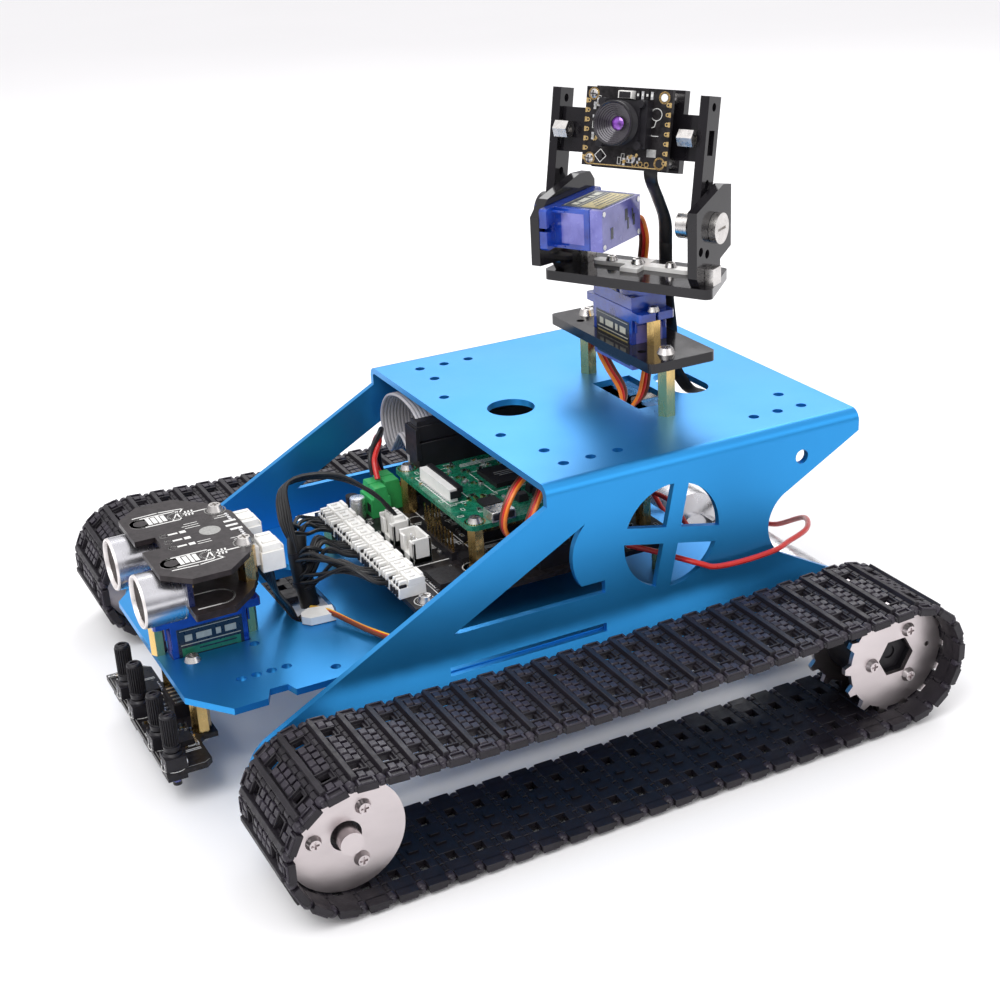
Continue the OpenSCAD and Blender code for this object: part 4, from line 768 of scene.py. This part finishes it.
def white_plugs():
    """The front row of nine three-way plugs and the two taller ones behind it."""
    k = Kit()
    for i in range(PLUGS):
        k.at = move(0, plug_y(i), CONTROL_TOP)
        nose = 42.2 if i % 3 == 1 else 41.2
        k.box((33, 0.1, 0), (41.6, PLUG_PITCH - 0.15, 3.4), NYLON, (0.1, 0.1))
        k.box((33.1, 0.2, 3.3), (38.6, PLUG_PITCH - 0.25, 5.6), NYLON, (0.25, 0.1))
        k.box((33.2, 0.9, 5.5), (34.4, PLUG_PITCH - 1.0, 6.3), NYLON, (0.1, 0.2))
        k.row(2, (0, 3), (35.6, 1.4, 5.5), (37.6, 2.6, 6.1), NYLON)
        k.row(3, (0, 2), (38.4, 1.05, 3.3), (nose, 2.25, 5.2), NYLON, (0.2, 0.15))
        k.row(3, (0, 2), (41.5, 1.15, 0.6), (42.1, 2.15, 2.8), BLACK)
        k.row(3, (0, 2), (39.0, 2.35, 3.3), (41.4, 2.95, 4.3), CHIP)
    for y in (-12, 3):
        k.at = move(22.5, y, CONTROL_TOP)
        for a, b in (((0, 0, 0), (6, 0.9, 8)), ((0, 9.6, 0), (6, 10.5, 8)), ((0, 0, 0), (0.9, 10.5, 8)),
                     ((5.1, 0, 0), (6, 3.4, 7)), ((5.1, 7.1, 0), (6, 10.5, 7)), ((0, 0, 0), (6, 10.5, 2))):
            k.box(a, b, NYLON)
        k.row(4, (0, 2), (2.6, 1.9, 1.9), (3.2, 2.5, 6.6), TIN)
    k.at = move(0, 0, CONTROL_TOP)
    k.row(4, (0, 2), (23.6, -10.6, 2.2), (27.4, -9.0, 9.2), NYLON, (0.15, 0.1))
    k.box((23.6, -10.9, 2.2), (27.3, -2.6, 8.0), NYLON, (0.1, 0.1))
    piece("plug_housings", k, "chassis", ["white_plugs"], edge=0.15)


def terminals():
    """Two green two-way screw terminals, one a step ahead of the other."""
    k = Kit()
    for i in (0, 1):
        k.at = move(13 + i * 6, -38.5 + i * 3.5, CONTROL_TOP)
        mid = 3.6 - i * 0.5
        k.box((0, 0, 0), (7.6 - i, 10, 6.4), TERMINAL, (0.05, 0.05))
        k.box((0.7, 0.05, 6.3), (6.7 - i, 9.95, 10), TERMINAL, (0.6, 0.05))
        for y in (2.6, 7.4):
            k.lathe((mid, y, 9.6), UP, [(0, 1.9), (0.42, 1.9), (0.42, 1.6), (0.1, 1.55), (0.1, 0)], TERMINAL,
                    20)
            k.lathe((mid, y, 9.6), UP, [(0, 1.45), (0.25, 1.4), (0.3, 0)], TIN, 20)
            k.pad(mid, y, 1.2, 0.16, 9.85, 9.95, CHIP)
            k.pad(7.6 - i, y, 0.1, 1.3, 1.6, 4.4, CHIP)
        k.box((1.2, 4.8, 9.95), (5.6, 5.2, 10.25), TERMINAL)
    piece("terminal_blocks", k, "chassis", ["screw_terminals"], edge=0.15)


control_details()
computer_details()
computer_ports()
header_blocks()
ribbon()
white_plugs()
terminals()

# ---------- line sensor ----------


def sensor_details():
    k = Kit(move(0, 0, SENSOR_Z))
    keep = [(100, 108, -31, -23), (100, 108, 23, 31), (98, 105.5, -8, 6)]
    keep += [(KNOB_X - 3.6, KNOB_X + 3.6, y - 3.6, y + 3.6) for y in KNOBS]
    scatter(k, 102.4, 115, -31.5, 31.5, 0, 210, 41, keep)
    for i, y in enumerate(KNOBS):
        k.circle(KNOB_X, y, 3.7, 0.22, 0, INK)
        k.lathe((KNOB_X, y, 4), UP, [(0, 2.9), (0.5, 2.8), (1.0, 2.2), (1.0, 1.2)], BLACK, 24)
        for leg_y in (y - 1.5, y + 1.5):
            k.pad(KNOB_X - 3.2, leg_y, 0.3, 0.3, 0, 2.2, TIN)
            k.pad(KNOB_X + 3.05, leg_y, 0.15, 0.3, 0, 2.2, TIN)
        # the trimmer body takes the lighter nylon, a painted highlight
        k.pad(KNOB_X, y, 3.02, 2.6, 1, 3, TRACK_HIGHLIGHT)
        printed_rows(k, 103, 107.5, y - (4.5 if abs(y - 4.5) < 22 else 6), 0, 2, 50 + i)
    soic(k, 103.6, 108, 14, 21, 1.6, 7, "y")
    soic(k, 103.6, 108, -20, -13, 1.6, 7, "y")
    soic(k, 106.4, 109.6, 7.2, 11.5, 1.4, 4, "y")
    k.line([(102.6, -30.9), (104.2, -32), (115, -32), (115, 32), (104.2, 32), (102.6, 30.9)], 0.15, 0,
           GREY_INK)
    k.box((99.6, -7, 4.5), (104.7, 5, 4.9), BLACK, (0.3, 0.3))
    k.row(5, (0, 2.3), (100.4, -5.6, 4.85), (103.9, -4.8, 5.0), TIN)
    k.row(5, (0, 2.3), (104.6, -5.5, 0), (106.4, -4.9, 0.3), TIN)
    # underside: four pairs of eyes, a lamp and a receiver each
    for y in (-26, -7, 7, 26):
        for eye_y, mat in ((y - 1.6, BLACK), (y + 1.6, LED_BLUE)):
            k.lathe((EYE_X, eye_y, -5), DOWN, [(0, 1.5), (0.4, 1.5), (1.3, 1.15), (1.8, 0.6), (1.95, 0)], mat,
                    18)
            for x in (EYE_X - 2.0, EYE_X + 1.6):
                k.pin(x, eye_y, -2.8, 0.5, 0.22, TIN, 8)
        k.pad(EYE_X, y, 2.9, 3.35, -5, -2.5, BLACK, (0.1, 0.15))
    piece("sensor_details", k, "chassis", edge=0)


def knobs():
    """Four knurled knobs, each on its own joint."""
    ridges, ridge_r, groove_r = 22, 2.45, 2.05
    for i, y in enumerate(KNOBS, 1):
        k = Kit(move(KNOB_X, y, SENSOR_Z))
        k.pin(0, 0, 1, 5.6, 1.0, BLACK, 16)
        k.lathe((0, 0, 5.4), UP, [(0, 2.25), (1.6, ridge_r), (1.7, groove_r), (2.2, 2.0)], BLACK, 28)
        outline = []
        for t in range(ridges * 2):
            r = ridge_r if t % 2 else groove_r
            for a in (math.pi * t / ridges - 0.04, math.pi * t / ridges + 0.04):
                outline.append((r * math.cos(a), r * math.sin(a)))
        k.prism(outline, 7.6, 16.0, BLACK)
        k.lathe((0, 0, 16), UP, [(0, 2.3), (0.6, 2.2), (0.95, 1.8), (0.95, 1.15), (0.25, 1.1), (0.2, 0)],
                BLACK, 28)
        # the slot bar on the knob top is in the lighter nylon, a painted highlight
        k.pad(0, 0, 1.1, 0.25, 16.2, 16.75, TRACK_HIGHLIGHT)
        piece("knurled_knob_%d" % i, k, "trimmer_%d" % i, ["trimmer_knob_%d" % i],
              edge=0.06)


sensor_details()
knobs()

# ---------- servos ----------


def ear(k, x0, x1, hole):
    """A mounting ear from x0 out to x1, with an open keyhole slot round x = hole."""
    s = 1 if x1 > x0 else -1
    turns = [math.radians(a) for a in range(-140, 141, 20)]
    slot = [(hole - s * 1.05 * math.cos(a), 1.05 * math.sin(a)) for a in turns]
    right = [(x0, -6.1), (x1 - s * 0.6, -6.1), (x1, -5.5), (x1, -0.5)]
    left = [(x, -y) for x, y in reversed(right)]
    k.prism(right + slot + left, 0, 2.5, SERVO)


def servo(name, body, at, replaces, gold):
    """A micro servo with its output shaft on Z and the underside of its ears at 0."""
    k = Kit(at)
    mid, long, wide = 5.5, 11.4, 6.1
    for inset, z0, z1, mat in ((0, -15.9, -11.9, SERVO_LID), (0.2, -12.0, -11.5, SERVO),
                               (0, -11.6, 2.9, SERVO), (0.2, 2.8, 3.2, SERVO)):
        k.pad(mid, 0, long - inset, wide - inset, z0, z1, mat)
    k.pad(mid, 0, long, wide, 3.1, 6.8, SERVO, (0.15, 0.15))
    ear(k, -5.8, -10.6, -8.4)
    ear(k, 16.8, 21.6, 19.4)
    for x in (-7.0, 17.8):
        k.row(2, (0, 10.2), (x, -5.4, -4.0), (x + 0.6, -4.8, 0.1), SERVO)
    k.lathe((0, 0, 6.7), UP, [(0, 5.9), (1.8, 5.9), (2.15, 5.5), (2.15, 2.7)], SERVO, 40)
    k.lathe((8, 0, 6.7), UP, [(0, 2.7), (1.8, 2.7), (2.1, 2.4), (2.1, 0)], SERVO, 28)
    k.pin(0, 0, 8.7, 8.92, 2.6, NYLON, 24)
    for x in (-4.7, 15.7):
        for y in (-4.9, 4.9):
            k.lathe((x, y, -15.95), DOWN, [(0, 0.85), (0.12, 0.8), (0.14, 0)], TIN, 14)
            k.pin(x, y, 6.6, 6.86, 0.7, TIN, 12)
    k.box((-6.3, -3.0, -14.6), (-5.0, 3.0, -12.6), CHIP, (0.2, 0.2))
    k.row(2, (22.72, 0), (-5.92, -4.6, -9.8), (-5.8, 4.6, -2.2), SERVO_LID)
    for x, y, w in ((-2.5, -2.2, 1.2), (-1.6, -0.4, 0.8), (1.2, -2.6, 0.9), (1.8, 0.2, 1.6),
                    (10.5, -3.4, 1.5)):
        k.box((x, y, -15.98), (x + w, y + 3.4, -15.85), LABEL)

    def label(x0, x1, z0, z1, mat, near=6.2, far=6.3):
        """One layer of the label, on both broad sides of the case."""
        k.box((x0, near, z0), (x1, far, z1), mat)
        k.box((x0, -far, z0), (x1, -near, z1), mat)

    label(-4.4, 15.2, -14.9, -1.2, LABEL, 6.08, 6.2)
    label(-3.4, 14.2, -14.0, -7.4, gold, 6.15, 6.26)
    label(-3.6, 14.4, -6.6, -6.3, LABEL_INK)
    label(-3.6, 14.4, -2.0, -1.8, LABEL_INK)
    for x, w in ((-2.4, 3.4), (2.2, 1.5), (5.0, 4.6), (10.8, 2.2)):
        label(x, x + w, -5.4, -3.4, LABEL_INK)
    for z, x1 in ((-8.6, 9), (-10.2, 11), (-11.8, 13), (-13.2, 9)):
        label(-2.2, x1, z, z + 0.45, LABEL)
    piece(name, k, body, replaces, edge=0.3, segments=2)


IN_SONAR_SERVO = move(SONAR_X, SONAR_Y, SONAR_PLATE - SERVO_FLANGE)
IN_PAN_SERVO = move(PAN_X, PAN_Y, FORK_Z - SERVO_FLANGE) @ turn(-90, "Z")
servo("sonar_servo_case", "chassis", IN_SONAR_SERVO, ["sonar_servo"], LABEL_GREEN)
servo("pan_servo_case", "chassis", IN_PAN_SERVO, ["pan_servo"], LABEL_GOLD)
servo("tilt_servo_case", "camera_fork", IN_TILT_SERVO, ["tilt_servo"], LABEL_GOLD)


# ---------- sonar head ----------


def sonar_details():
    k = Kit()
    for s in (-1, 1):
        k.at = IN_SONAR @ move(0, s * CAN_Y, CAN_Z)
        k.lathe((14.4, 0, 0), AHEAD, [(0, CAN_R), (0.5, CAN_R), (0.6, 7.55), (1.0, 7.55), (1.1, CAN_R),
                                      (11.5, CAN_R)], CAN, 56, caps=False)
        k.lathe((25.9, 0, 0), AHEAD, [(0, CAN_R), (0.35, 7.72), (0.7, 7.5), (0.7, 7.15), (0.4, 6.95),
                                      (-0.8, 6.9), (-0.8, 6.0)], RIM, 56, caps=False)
        k.lathe((25.0, 0, 0), AHEAD, [(0, 6.9), (0.25, 6.9), (0.3, 0)], MESH_DARK, 40)
        for i in range(-10, 11):
            d = i * 0.63
            h = math.sqrt(6.75 ** 2 - d * d)
            k.box((25.25, d - 0.11, -h), (25.45, d + 0.11, h), MESH_DARK)
            k.box((25.3, -h, d - 0.11), (25.5, h, d + 0.11), MESH_DARK)
    k.at = IN_SONAR
    k.box((14.4, -4, CAN_Z), (17.4, 4, 42.0), TIN, (0.4, 0.6))
    k.box((14.4, -3.5, 44.6), (15.4, 3.5, 46.2), CHIP)
    rnd = random.Random(77)
    for _ in range(60):
        y, z = rnd.uniform(-21, 21), rnd.uniform(38.6, 46.3)
        k.box((12.2, y, z), (12.8, y + 1.4, z + 0.8), rnd.choice((CHIP, TIN, CHIP, BRASS)))
    piece("sonar_cans", k, "sonar_head", ["sonar_transducers"], edge=0)


def sonar_top_print():
    """Two lamp outlines, generic marks and pads on the upper plate, and half rings on the lower one."""
    k = Kit(IN_SONAR @ move(0, 0, SONAR_DECK + BOARD_T))
    for s in (-1, 1):
        y = s * 15.5
        k.circle(15.6, y, 3.3, 0.5, 0, INK, -90, 90)
        k.line([(15.6, y - 3.3), (4.6, y - 3.3), (4.6, y + 3.3), (15.6, y + 3.3)], 0.5, 0, INK)
        k.circle(16.0, y, 2.4, 0.9, 0, GREY_INK)
        for x0, x1, h in ((8.4, 9.6, 2.5), (9.9, 10.9, 2.9), (11.2, 12.5, 2.5), (12.8, 14.0, 2.8)):
            k.box((x0, y - h, -0.01), (x1, y + h * 0.8, 0.07), INK)
        k.circle(5.6, y, 2.1, 0.45, 0, INK)
        k.line([(4.0, y - 2.9), (7.0, y + 2.9)], 0.35, 0, INK)
        k.line([(3.4, y), (0.6, y), (-3.6, y)], 0.55, 0, INK)
        for x in (2.2, 1.2, 0.2):
            k.line([(x, y - 1.5), (x + 0.5, y + 1.5)], 0.5, 0, INK)
        k.line([(3.4, y + s * 2.2), (2.2, y + s * 4.0), (9.5, y + s * 5.0), (17.0, y + s * 4.6)], 0.45, 0,
               INK)
        printed_rows(k, -7.4, -3.2, y - s * 7.0, 0, 2, 60 + s, pitch=1.3)
        k.circle(-5.8, s * 13.2, 3.1, 0.3, 0, GREY_INK)
    for y in (5.4, 0.9, -3.8):
        k.box((8.6, y, -0.01), (11.4, y + 0.9, 0.07), INK)
        k.box((6.2, y - 0.3, -0.01), (8.0, y + 1.3, 0.07), INK)
        k.circle(12.6, y + 0.5, 1.1, 0.35, 0, INK)
    printed_rows(k, 1.5, 6.4, -8.0, 0, 3, 63, pitch=1.5)
    printed_rows(k, 1.8, 6.2, 5.6, 0, 2, 64, pitch=1.4)
    for x, y in ((-8.8, 2.2), (-8.4, -0.8), (-8.8, -4.0)):
        k.box((x, y, -0.01), (x + 3.6, y + 1.2, 0.07), INK)
    for i in range(4):
        for y in (-14 + i * 2.2, 5.4 + i * 2.2):
            k.pin(-7.6, y * 0.62, 0, 0.15, 0.55, TIN, 10)
    k.lathe((0, 0, -1.7), UP, [(0, 2.66), (1.72, 2.66), (1.78, 2.95), (1.74, 3.1)], GREY_INK, 30)
    k.at = IN_SONAR @ move(0, 0, SONAR_PLATE + 2)
    for y in (-20, 20):
        k.circle(5.5, y, 4.6, 0.55, 0, INK, 90, 270)
        for edge_y in (y - 4.6, y + 4.6):
            k.line([(5.5, edge_y), (12.4, edge_y)], 0.5, 0, INK)
    piece("sonar_print", k, "sonar_head", edge=0)


def sonar_plugs():
    k = Kit()
    for y in (-16, 3):
        k.at = IN_SONAR @ move(0, y, 0)
        k.box((-17, 0, 38.5), (-10, 11, 44.6), NYLON, (0.1, 0.1))
        k.box((-16.6, 0.5, 44.5), (-10.4, 10.5, 46.5), NYLON, (0.3, 0.4))
        k.box((-17.4, 1.6, 41), (-16.9, 9.4, 45.2), NYLON)
        k.row(2, (0, 5.2), (-15.6, 2.2, 46.4), (-11.4, 3.4, 47.0), NYLON)
        k.box((-10.1, 1.4, 40.5), (-8.4, 9.6, 46.4), NYLON, (0, 0.3))
        k.row(4, (0, 2.2), (-14.6, 1.4, 38.4), (-12.2, 2.9, 39), CHIP)
    piece("sonar_plug_housings", k, "sonar_head", ["sonar_plugs"], edge=0.2)


sonar_details()
sonar_top_print()
sonar_plugs()

# ---------- camera head ----------


def camera_board_details():
    """Parts and print on the camera board, which faces +u in the tilting frame."""
    k = Kit(IN_TILT @ move(CAMERA_U, 0, 26) @ Matrix(((0, 0, 1, 0), (1, 0, 0, 0), (0, 1, 0, 0),
                                                      (0, 0, 0, 1))))
    for i in range(7):
        y = -9.0 + i * 2.7
        for s in (-1, 1):
            k.pin(s * 12.9, y, 0, 0.12, 0.62, GOLD, 12)
            k.pin(s * 12.9, y, 0.1, 0.16, 0.3, CHIP, 8)
            k.pad(s * 13.6, y, 0.35, 0.7, -0.01, 0.1, GOLD)
    for y in (9.2, -9.2):
        k.circle(-11.5, y, 1.5, 0.5, 0, GOLD)
        k.lathe((-11.5, y, 0), UP, [(0, 1.35), (0.25, 1.35), (0.7, 0.9), (0.8, 0)], STEEL, 20)
        k.pad(-11.5, y, 0.9, 0.14, 0.6, 0.86, CHIP)
        k.pad(-11.5, y, 0.14, 0.9, 0.6, 0.86, CHIP)
        k.circle(11.5, y, 1.5, 0.5, 0, GOLD)
        k.pin(11.5, y, 0, 0.08, 1.1, NYLON if y > 0 else CHIP, 18)
    k.line([(-11.4, -10.7), (11.4, -10.7)], 0.3, 0, GOLD)
    for x in (3.4, 5.4, 7.4):
        k.circle(x, -9.8, 0.65, 0.3, 0, GOLD, n=12)
    k.box((-2.6, 8.2, 0), (2.2, 10.6, 2.2), NYLON, (0.2, 0.2))
    k.box((-2.0, 8.5, 2.1), (1.6, 10.2, 2.35), CHIP)
    for i, mat in enumerate((CHIP, TIN, CHIP, TIN)):
        x = 3.3 + i * 1.5
        k.box((x - 0.4, 8.4, 0), (x + 0.4, 10.6, 0.7), mat)
        k.box((x - 0.3, 9.2, 0.5), (x + 0.3, 9.9, 0.8), INK)
    k.circle(9.4, 4.4, 1.7, 0.2, 0, INK)
    k.line([(9.4, 2.6), (9.0, 1.0), (7.4, 0.4)], 0.2, 0, INK)
    k.line([(6.8, 5.8), (6.8, -0.4), (8.4, -1.6), (10.4, -1.6)], 0.18, 0, INK)
    k.line([(-9.8, -8.2), (-7.9, -6.3), (-6.0, -8.2), (-7.9, -10.1)], 0.2, 0, INK, closed=True)
    k.box((-8.7, -9.0, 0), (-7.1, -7.4, 0.6), CHIP)
    k.box((7.2, -7.6, -0.01), (10.2, -5.4, 0.08), GREY_INK)
    printed_rows(k, 7.4, 10.0, -7.2, 0, 3, 90, INK, 0.7)
    scatter(k, -11, -7.2, -5, 8, 0, 22, 91)
    scatter(k, -5.5, 6.4, -9.4, -7.2, 0, 14, 92)
    k.box((-6, -9, -4.1), (6, -4.4, -1.49), BLACK, (0.3, 0.2))
    piece("camera_parts", k, "camera_head", edge=0)


def lens():
    """Square holder with ribbed barrel and stepped throat, and the glass dome."""
    k = Kit(IN_TILT @ move(0, 0, LENS_W))
    k.box((CAMERA_U, -6.6, -6.6), (11.6, 8.2, 6.6), BLACK, (0.15, 0.15))
    k.box((11.5, -6.2, -6.2), (12.6, 6.2, 6.2), BLACK, (0.2, 0.2))
    for y in (-6.2, 6.2):
        for w in (-5.8, 5.8):
            k.rod((CAMERA_U, y, w), (12.8, y, w), 1.2, BLACK, 16)
    barrel = [(0, 5.6), (1.2, 5.9), (1.4, 6.25)]
    for i in range(5):
        barrel += [(1.6 + i * 0.6, 6.35), (1.9 + i * 0.6, 6.15)]
    barrel += [(4.6, 6.35), (5.2, 6.3), (5.4, 6.05), (5.35, 5.85)]
    k.lathe((11.6, 0, 0), AHEAD, barrel, BLACK, 56, caps=False)
    throat = [(0, 5.9)]
    for i in range(7):
        throat += [(-0.15 - 0.42 * i, 5.7 - 0.5 * i), (-0.38 - 0.42 * i, 5.6 - 0.5 * i)]
    throat += [(-3.2, 2.0), (-4.4, 1.9)]
    k.lathe((17.0, 0, 0), AHEAD, throat, LENS_RING, 48, caps=False)
    piece("lens_barrel", k, "camera_head", ["lens_holder"], edge=0)
    k = Kit(IN_TILT @ move(0, 0, LENS_W))
    dome = [(0.9 * math.sin(math.radians(a)), 2.3 * math.cos(math.radians(a))) for a in range(0, 90, 10)]
    k.lathe((13.0, 0, 0), AHEAD, [(-0.6, 2.3)] + dome + [(0.9, 0)], GLASS, 36)
    piece("lens_glass", k, "camera_head", ["camera_lens"], edge=0)


camera_board_details()
lens()

# ---------- wires ----------


def pan_point(u, v, z):
    return IN_PAN @ Vector((u, v, z))


def tilt_point(u, v, w):
    return IN_TILT @ Vector((u, v, w))


TRIPLE = (WIRE_BROWN, WIRE_RED, WIRE_ORANGE)
CABLE_FACE = (0.866, 0.5, 0)


def motor_wires():
    paths = (
        ([(-80, 7, 1), (-75.5, 3, 9), (-71.5, -4, 17.5), (-62, -16, 21), (-54, -26, 27.5), (-47.5, -30, 29)],
         WIRE_RED), ([(-94, 7, 2), (-99.5, 9, 6), (-100, 20, 10), (-97, 38, 20), (-86, 54, 25),
                      (-74, 61, 26.4), (-67, 64, 26.6), (-56, 64, 26), (-46, 63.8, 26.6), (-42, 62.6, 28),
                      (-38.5, 59.5, 29), (-34, 50, 29), (-30, 40.5, 28.4)], WIRE_RED),
        ([(-80, -7, 1), (-75.5, -12, 9), (-71.5, -18, 17.5), (-60, -30, 22), (-54, -34, 27.5),
          (-47.5, -37.5, 29.4)], WIRE_RED),
        ([(-94, -7, 1), (-99.5, -9, 5), (-100, -18, 9), (-89, -30, 16), (-74, -38, 19), (-58, -44, 23),
          (-50, -45, 27.5), (-46.5, -41, 29.4)], WIRE_BLACK))
    k = Kit()
    for points, mat in paths:
        k.tube(points, 0.85, mat)
    for s, mat in ((0, WIRE_BLACK), (1, WIRE_RED)):
        k.tube([(21, -34 + 4 * s, 37), (20, -37 + 3 * s, 43 - s), (14 + s, -43 + 2 * s, 47 - 2 * s),
                (10.5 + 2.2 * s, -50 + s, 45 - 1.5 * s), (10.5 + 2.2 * s, -54.2 + s, 36),
                (8 + s, -55 + 1.8 * s, 26), (-4, -55 + 2.2 * s, 20), (-30, -55 + 2.2 * s, 18.4),
                (-58, -52 + 2.2 * s, 18.4), (-68, -50 + 2.2 * s, 18.4), (-75, -46 + 2.2 * s, 14),
                (-72.5, -41 + 2.2 * s, 7.5), (-62, -36 + 2.2 * s, 5), (-44, -30 + 2.2 * s, 5),
                (-34.4, -28 + 2.2 * s, 4.4)], 0.9, mat)
    piece("power_wires", k, "chassis", ["power_leads"], edge=0)


def servo_leads():
    k = Kit()
    for i, mat in enumerate(TRIPLE):
        s = i - 1
        k.tube([(PAN_X + s * 1.2, -3.4, 78), (PAN_X + s * 1.2, -9, 73), (-51 + s * 1.2, -4, 68),
                (-51 + s, 4, 62), (-44, 14 + s * 1.2, 57)], 0.6, mat)
        k.tube([(-43.6, 14 + s * 1.2, 57), (-16, 31 + s * 1.2, 56), (-6, 38 + s * 1.2, 57),
                (2, 44 + s * 1.2, 52), (6, 45 + s * 1.2, 44), (1, 40 + s * 1.2, 37), (-6, 34 + s, 32.4)], 0.6,
                mat)
        k.tube([(-43.6, 11 + s * 1.2, 58), (-14, 27 + s * 1.2, 57.5), (-3, 33 + s * 1.2, 57.6),
                (7, 38 + s * 1.2, 53), (10.5, 39 + s * 1.2, 44), (5, 38 + s * 1.2, 36), (-3, 34 + s, 32.4)],
                0.6, mat)
        k.tube([(58, 2 + 1.3 * s, 14.4), (56, 12 + 1.25 * s, 17.2), (50, 28 + 1.25 * s, 16.6),
                (42 + 1.2 * s, 44, 16.6), (32, 52 + 1.2 * s, 16.6), (12, 55 + 1.1 * s, 16.4),
                (-8, 54 + s, 17.5), (-20, 49 + s, 22), (-24, 44 + s, 29)], 0.62,
                (WIRE_YELLOW, WIRE_RED, WIRE_BROWN)[i])
    k.box((-9.5, 31.6, 30.5), (-4.2, 36.8, 33.6), BLACK, (0.2, 0.2))
    piece("board_servo_wires", k, "chassis", ["board_servo_leads"], edge=0)

    k = Kit()
    for i, mat in enumerate(TRIPLE):
        s = (i - 1) * 1.15
        k.tube([pan_point(-3.1, -3.4 + s, 119.5), pan_point(-7, -3.2 + s, 118), pan_point(-11, -3.8 + s, 111),
                pan_point(-12.6, -5.4 + s, 103), pan_point(-13, -6 + s, 95), (-65 + s, 2, 85),
                (-65.3 + s, 2, 79), (-59 + s, 6, 70), (-54 + s, 10, 62), (-45, 12 + s, 57.5)], 0.6, mat)
    lead = piece("tilt_servo_wires", k, None, ["head_servo_leads"], edge=0, rides=False)
    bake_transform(lead)


def camera_cable():
    """A flat-sided cable in two lengths that meet at `join`, one for each joint it crosses."""
    join = pan_point(-12.6, 2.7, 110)
    low = [(-64.6, 9, 92), (-66.6, 7.6, 81), (-66.8, 7.6, 71), (-71, 10.2, 61.5), (-78, 8, 57), (-81, 6, 50),
           (-71.4, 5.5, 48)]
    k = Kit()
    k.tube([join, pan_point(-13.2, 2.4, 102)] + low, 2.3, WIRE_BLACK, 12, 0.8, CABLE_FACE)
    cable = piece("camera_cable_lower", k, None, ["camera_cable"], edge=0, rides=False)
    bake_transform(cable)
    k = Kit()
    k.tube([tilt_point(4.2, 7, 19), tilt_point(4, 7, 12.5), pan_point(-2.5, 5.6, 126),
            pan_point(-9, 4.4, 118), join, pan_point(-12.8, 2.6, 108)], 2.3, WIRE_BLACK, 12, 0.8, CABLE_FACE)
    cable = piece("camera_cable_upper", k, None, edge=0, rides=False)
    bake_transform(cable)


def sonar_wires():
    k = Kit()
    for i in range(4):
        y = SONAR_Y - 13.4 + 2 * i
        k.tube([(SONAR_X - 13.2, y, 41), (SONAR_X - 13.4, y, 36), (71, y * 0.8 - 1, 28),
                (66.5, -9 + 2 * i, 20), (63.6, -10 + 2 * i, 11.2)], 0.62, WIRE_BLACK)
        k.tube([(SONAR_X - 13.2, y + 19, 41), (SONAR_X - 13.4, y + 19, 36), (71.5, 8 + 1.6 * i, 28),
                (66.5, 1 + 2 * i, 19.5), (63.6, 2 * i, 11.2)], 0.62, WIRE_BLACK)
    wires = piece("sonar_wires", k, None, ["sonar_harness"], edge=0, rides=False)
    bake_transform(wires)


def board_wires():
    k = Kit()
    k.tube([(56, -6, 11.5), (56.6, -8, 19), (57, -10, 27), (56, -12, 33)], 3.0, WIRE_BLACK, 20)
    for z in (18, 27):
        k.tube([(56.6, -7.8 - (z - 18) * 0.22, z), (56.7, -8.2 - (z - 18) * 0.22, z + 1.6)], 3.3, BLACK, 20)
    rnd = random.Random(5)
    for plug in (0, 1, 3, 4, 6, 7):
        for j in range(3):
            y = plug_y(plug) + 1.65 + 2.0 * j
            z0 = rnd.uniform(20, 33)
            side = 1 if y > -10 else -1
            k.tube([(57.5 + rnd.uniform(-1, 1), -9 + side * 1.5, z0 - 3),
                    (56, -9 + side * 5 + (y + 9) * 0.15, z0 + rnd.uniform(0, 2.5)),
                    (51, y * 0.75 - 2, 31 + rnd.uniform(-1, 1.6)), (46, y, 29.4), (41.6, y, 27.8)], 0.62,
                    WIRE_BLACK)
    for i in range(5):
        k.tube([(57.5, -10 + i * 0.6, 29), (59.5 - i * 0.5, -16 + i, 38 + 0.5 * i),
                (55, -23 + 1.6 * i, 45 + i), (42, -19 + 2.2 * i, 46.5 + i), (31, -12 + 1.6 * i, 42),
                (25.6, -9.8 + 1.7 * min(i, 3), 34.6)], 0.62, WIRE_BLACK)
    for i in range(4):
        k.tube([(57, -4 + 1.5 * i, 11), (66, -6 + 1.5 * i, 6.4), (82, -10 + 1.5 * i, 3),
                (92, -8 + 1.5 * i, -3), (98.8, -5 + 2.4 * i, -5.6)], 0.6, WIRE_BLACK)
    k.prism([(54, 8.2), (61, 6.6), (64, 8.4), (64.6, 11), (62.6, 13.4), (55, 14)], 15.2, 17.6, NYLON)
    piece("board_wires", k, "chassis", ["board_harness"], edge=0)


motor_wires()
servo_leads()
camera_cable()
sonar_wires()
board_wires()
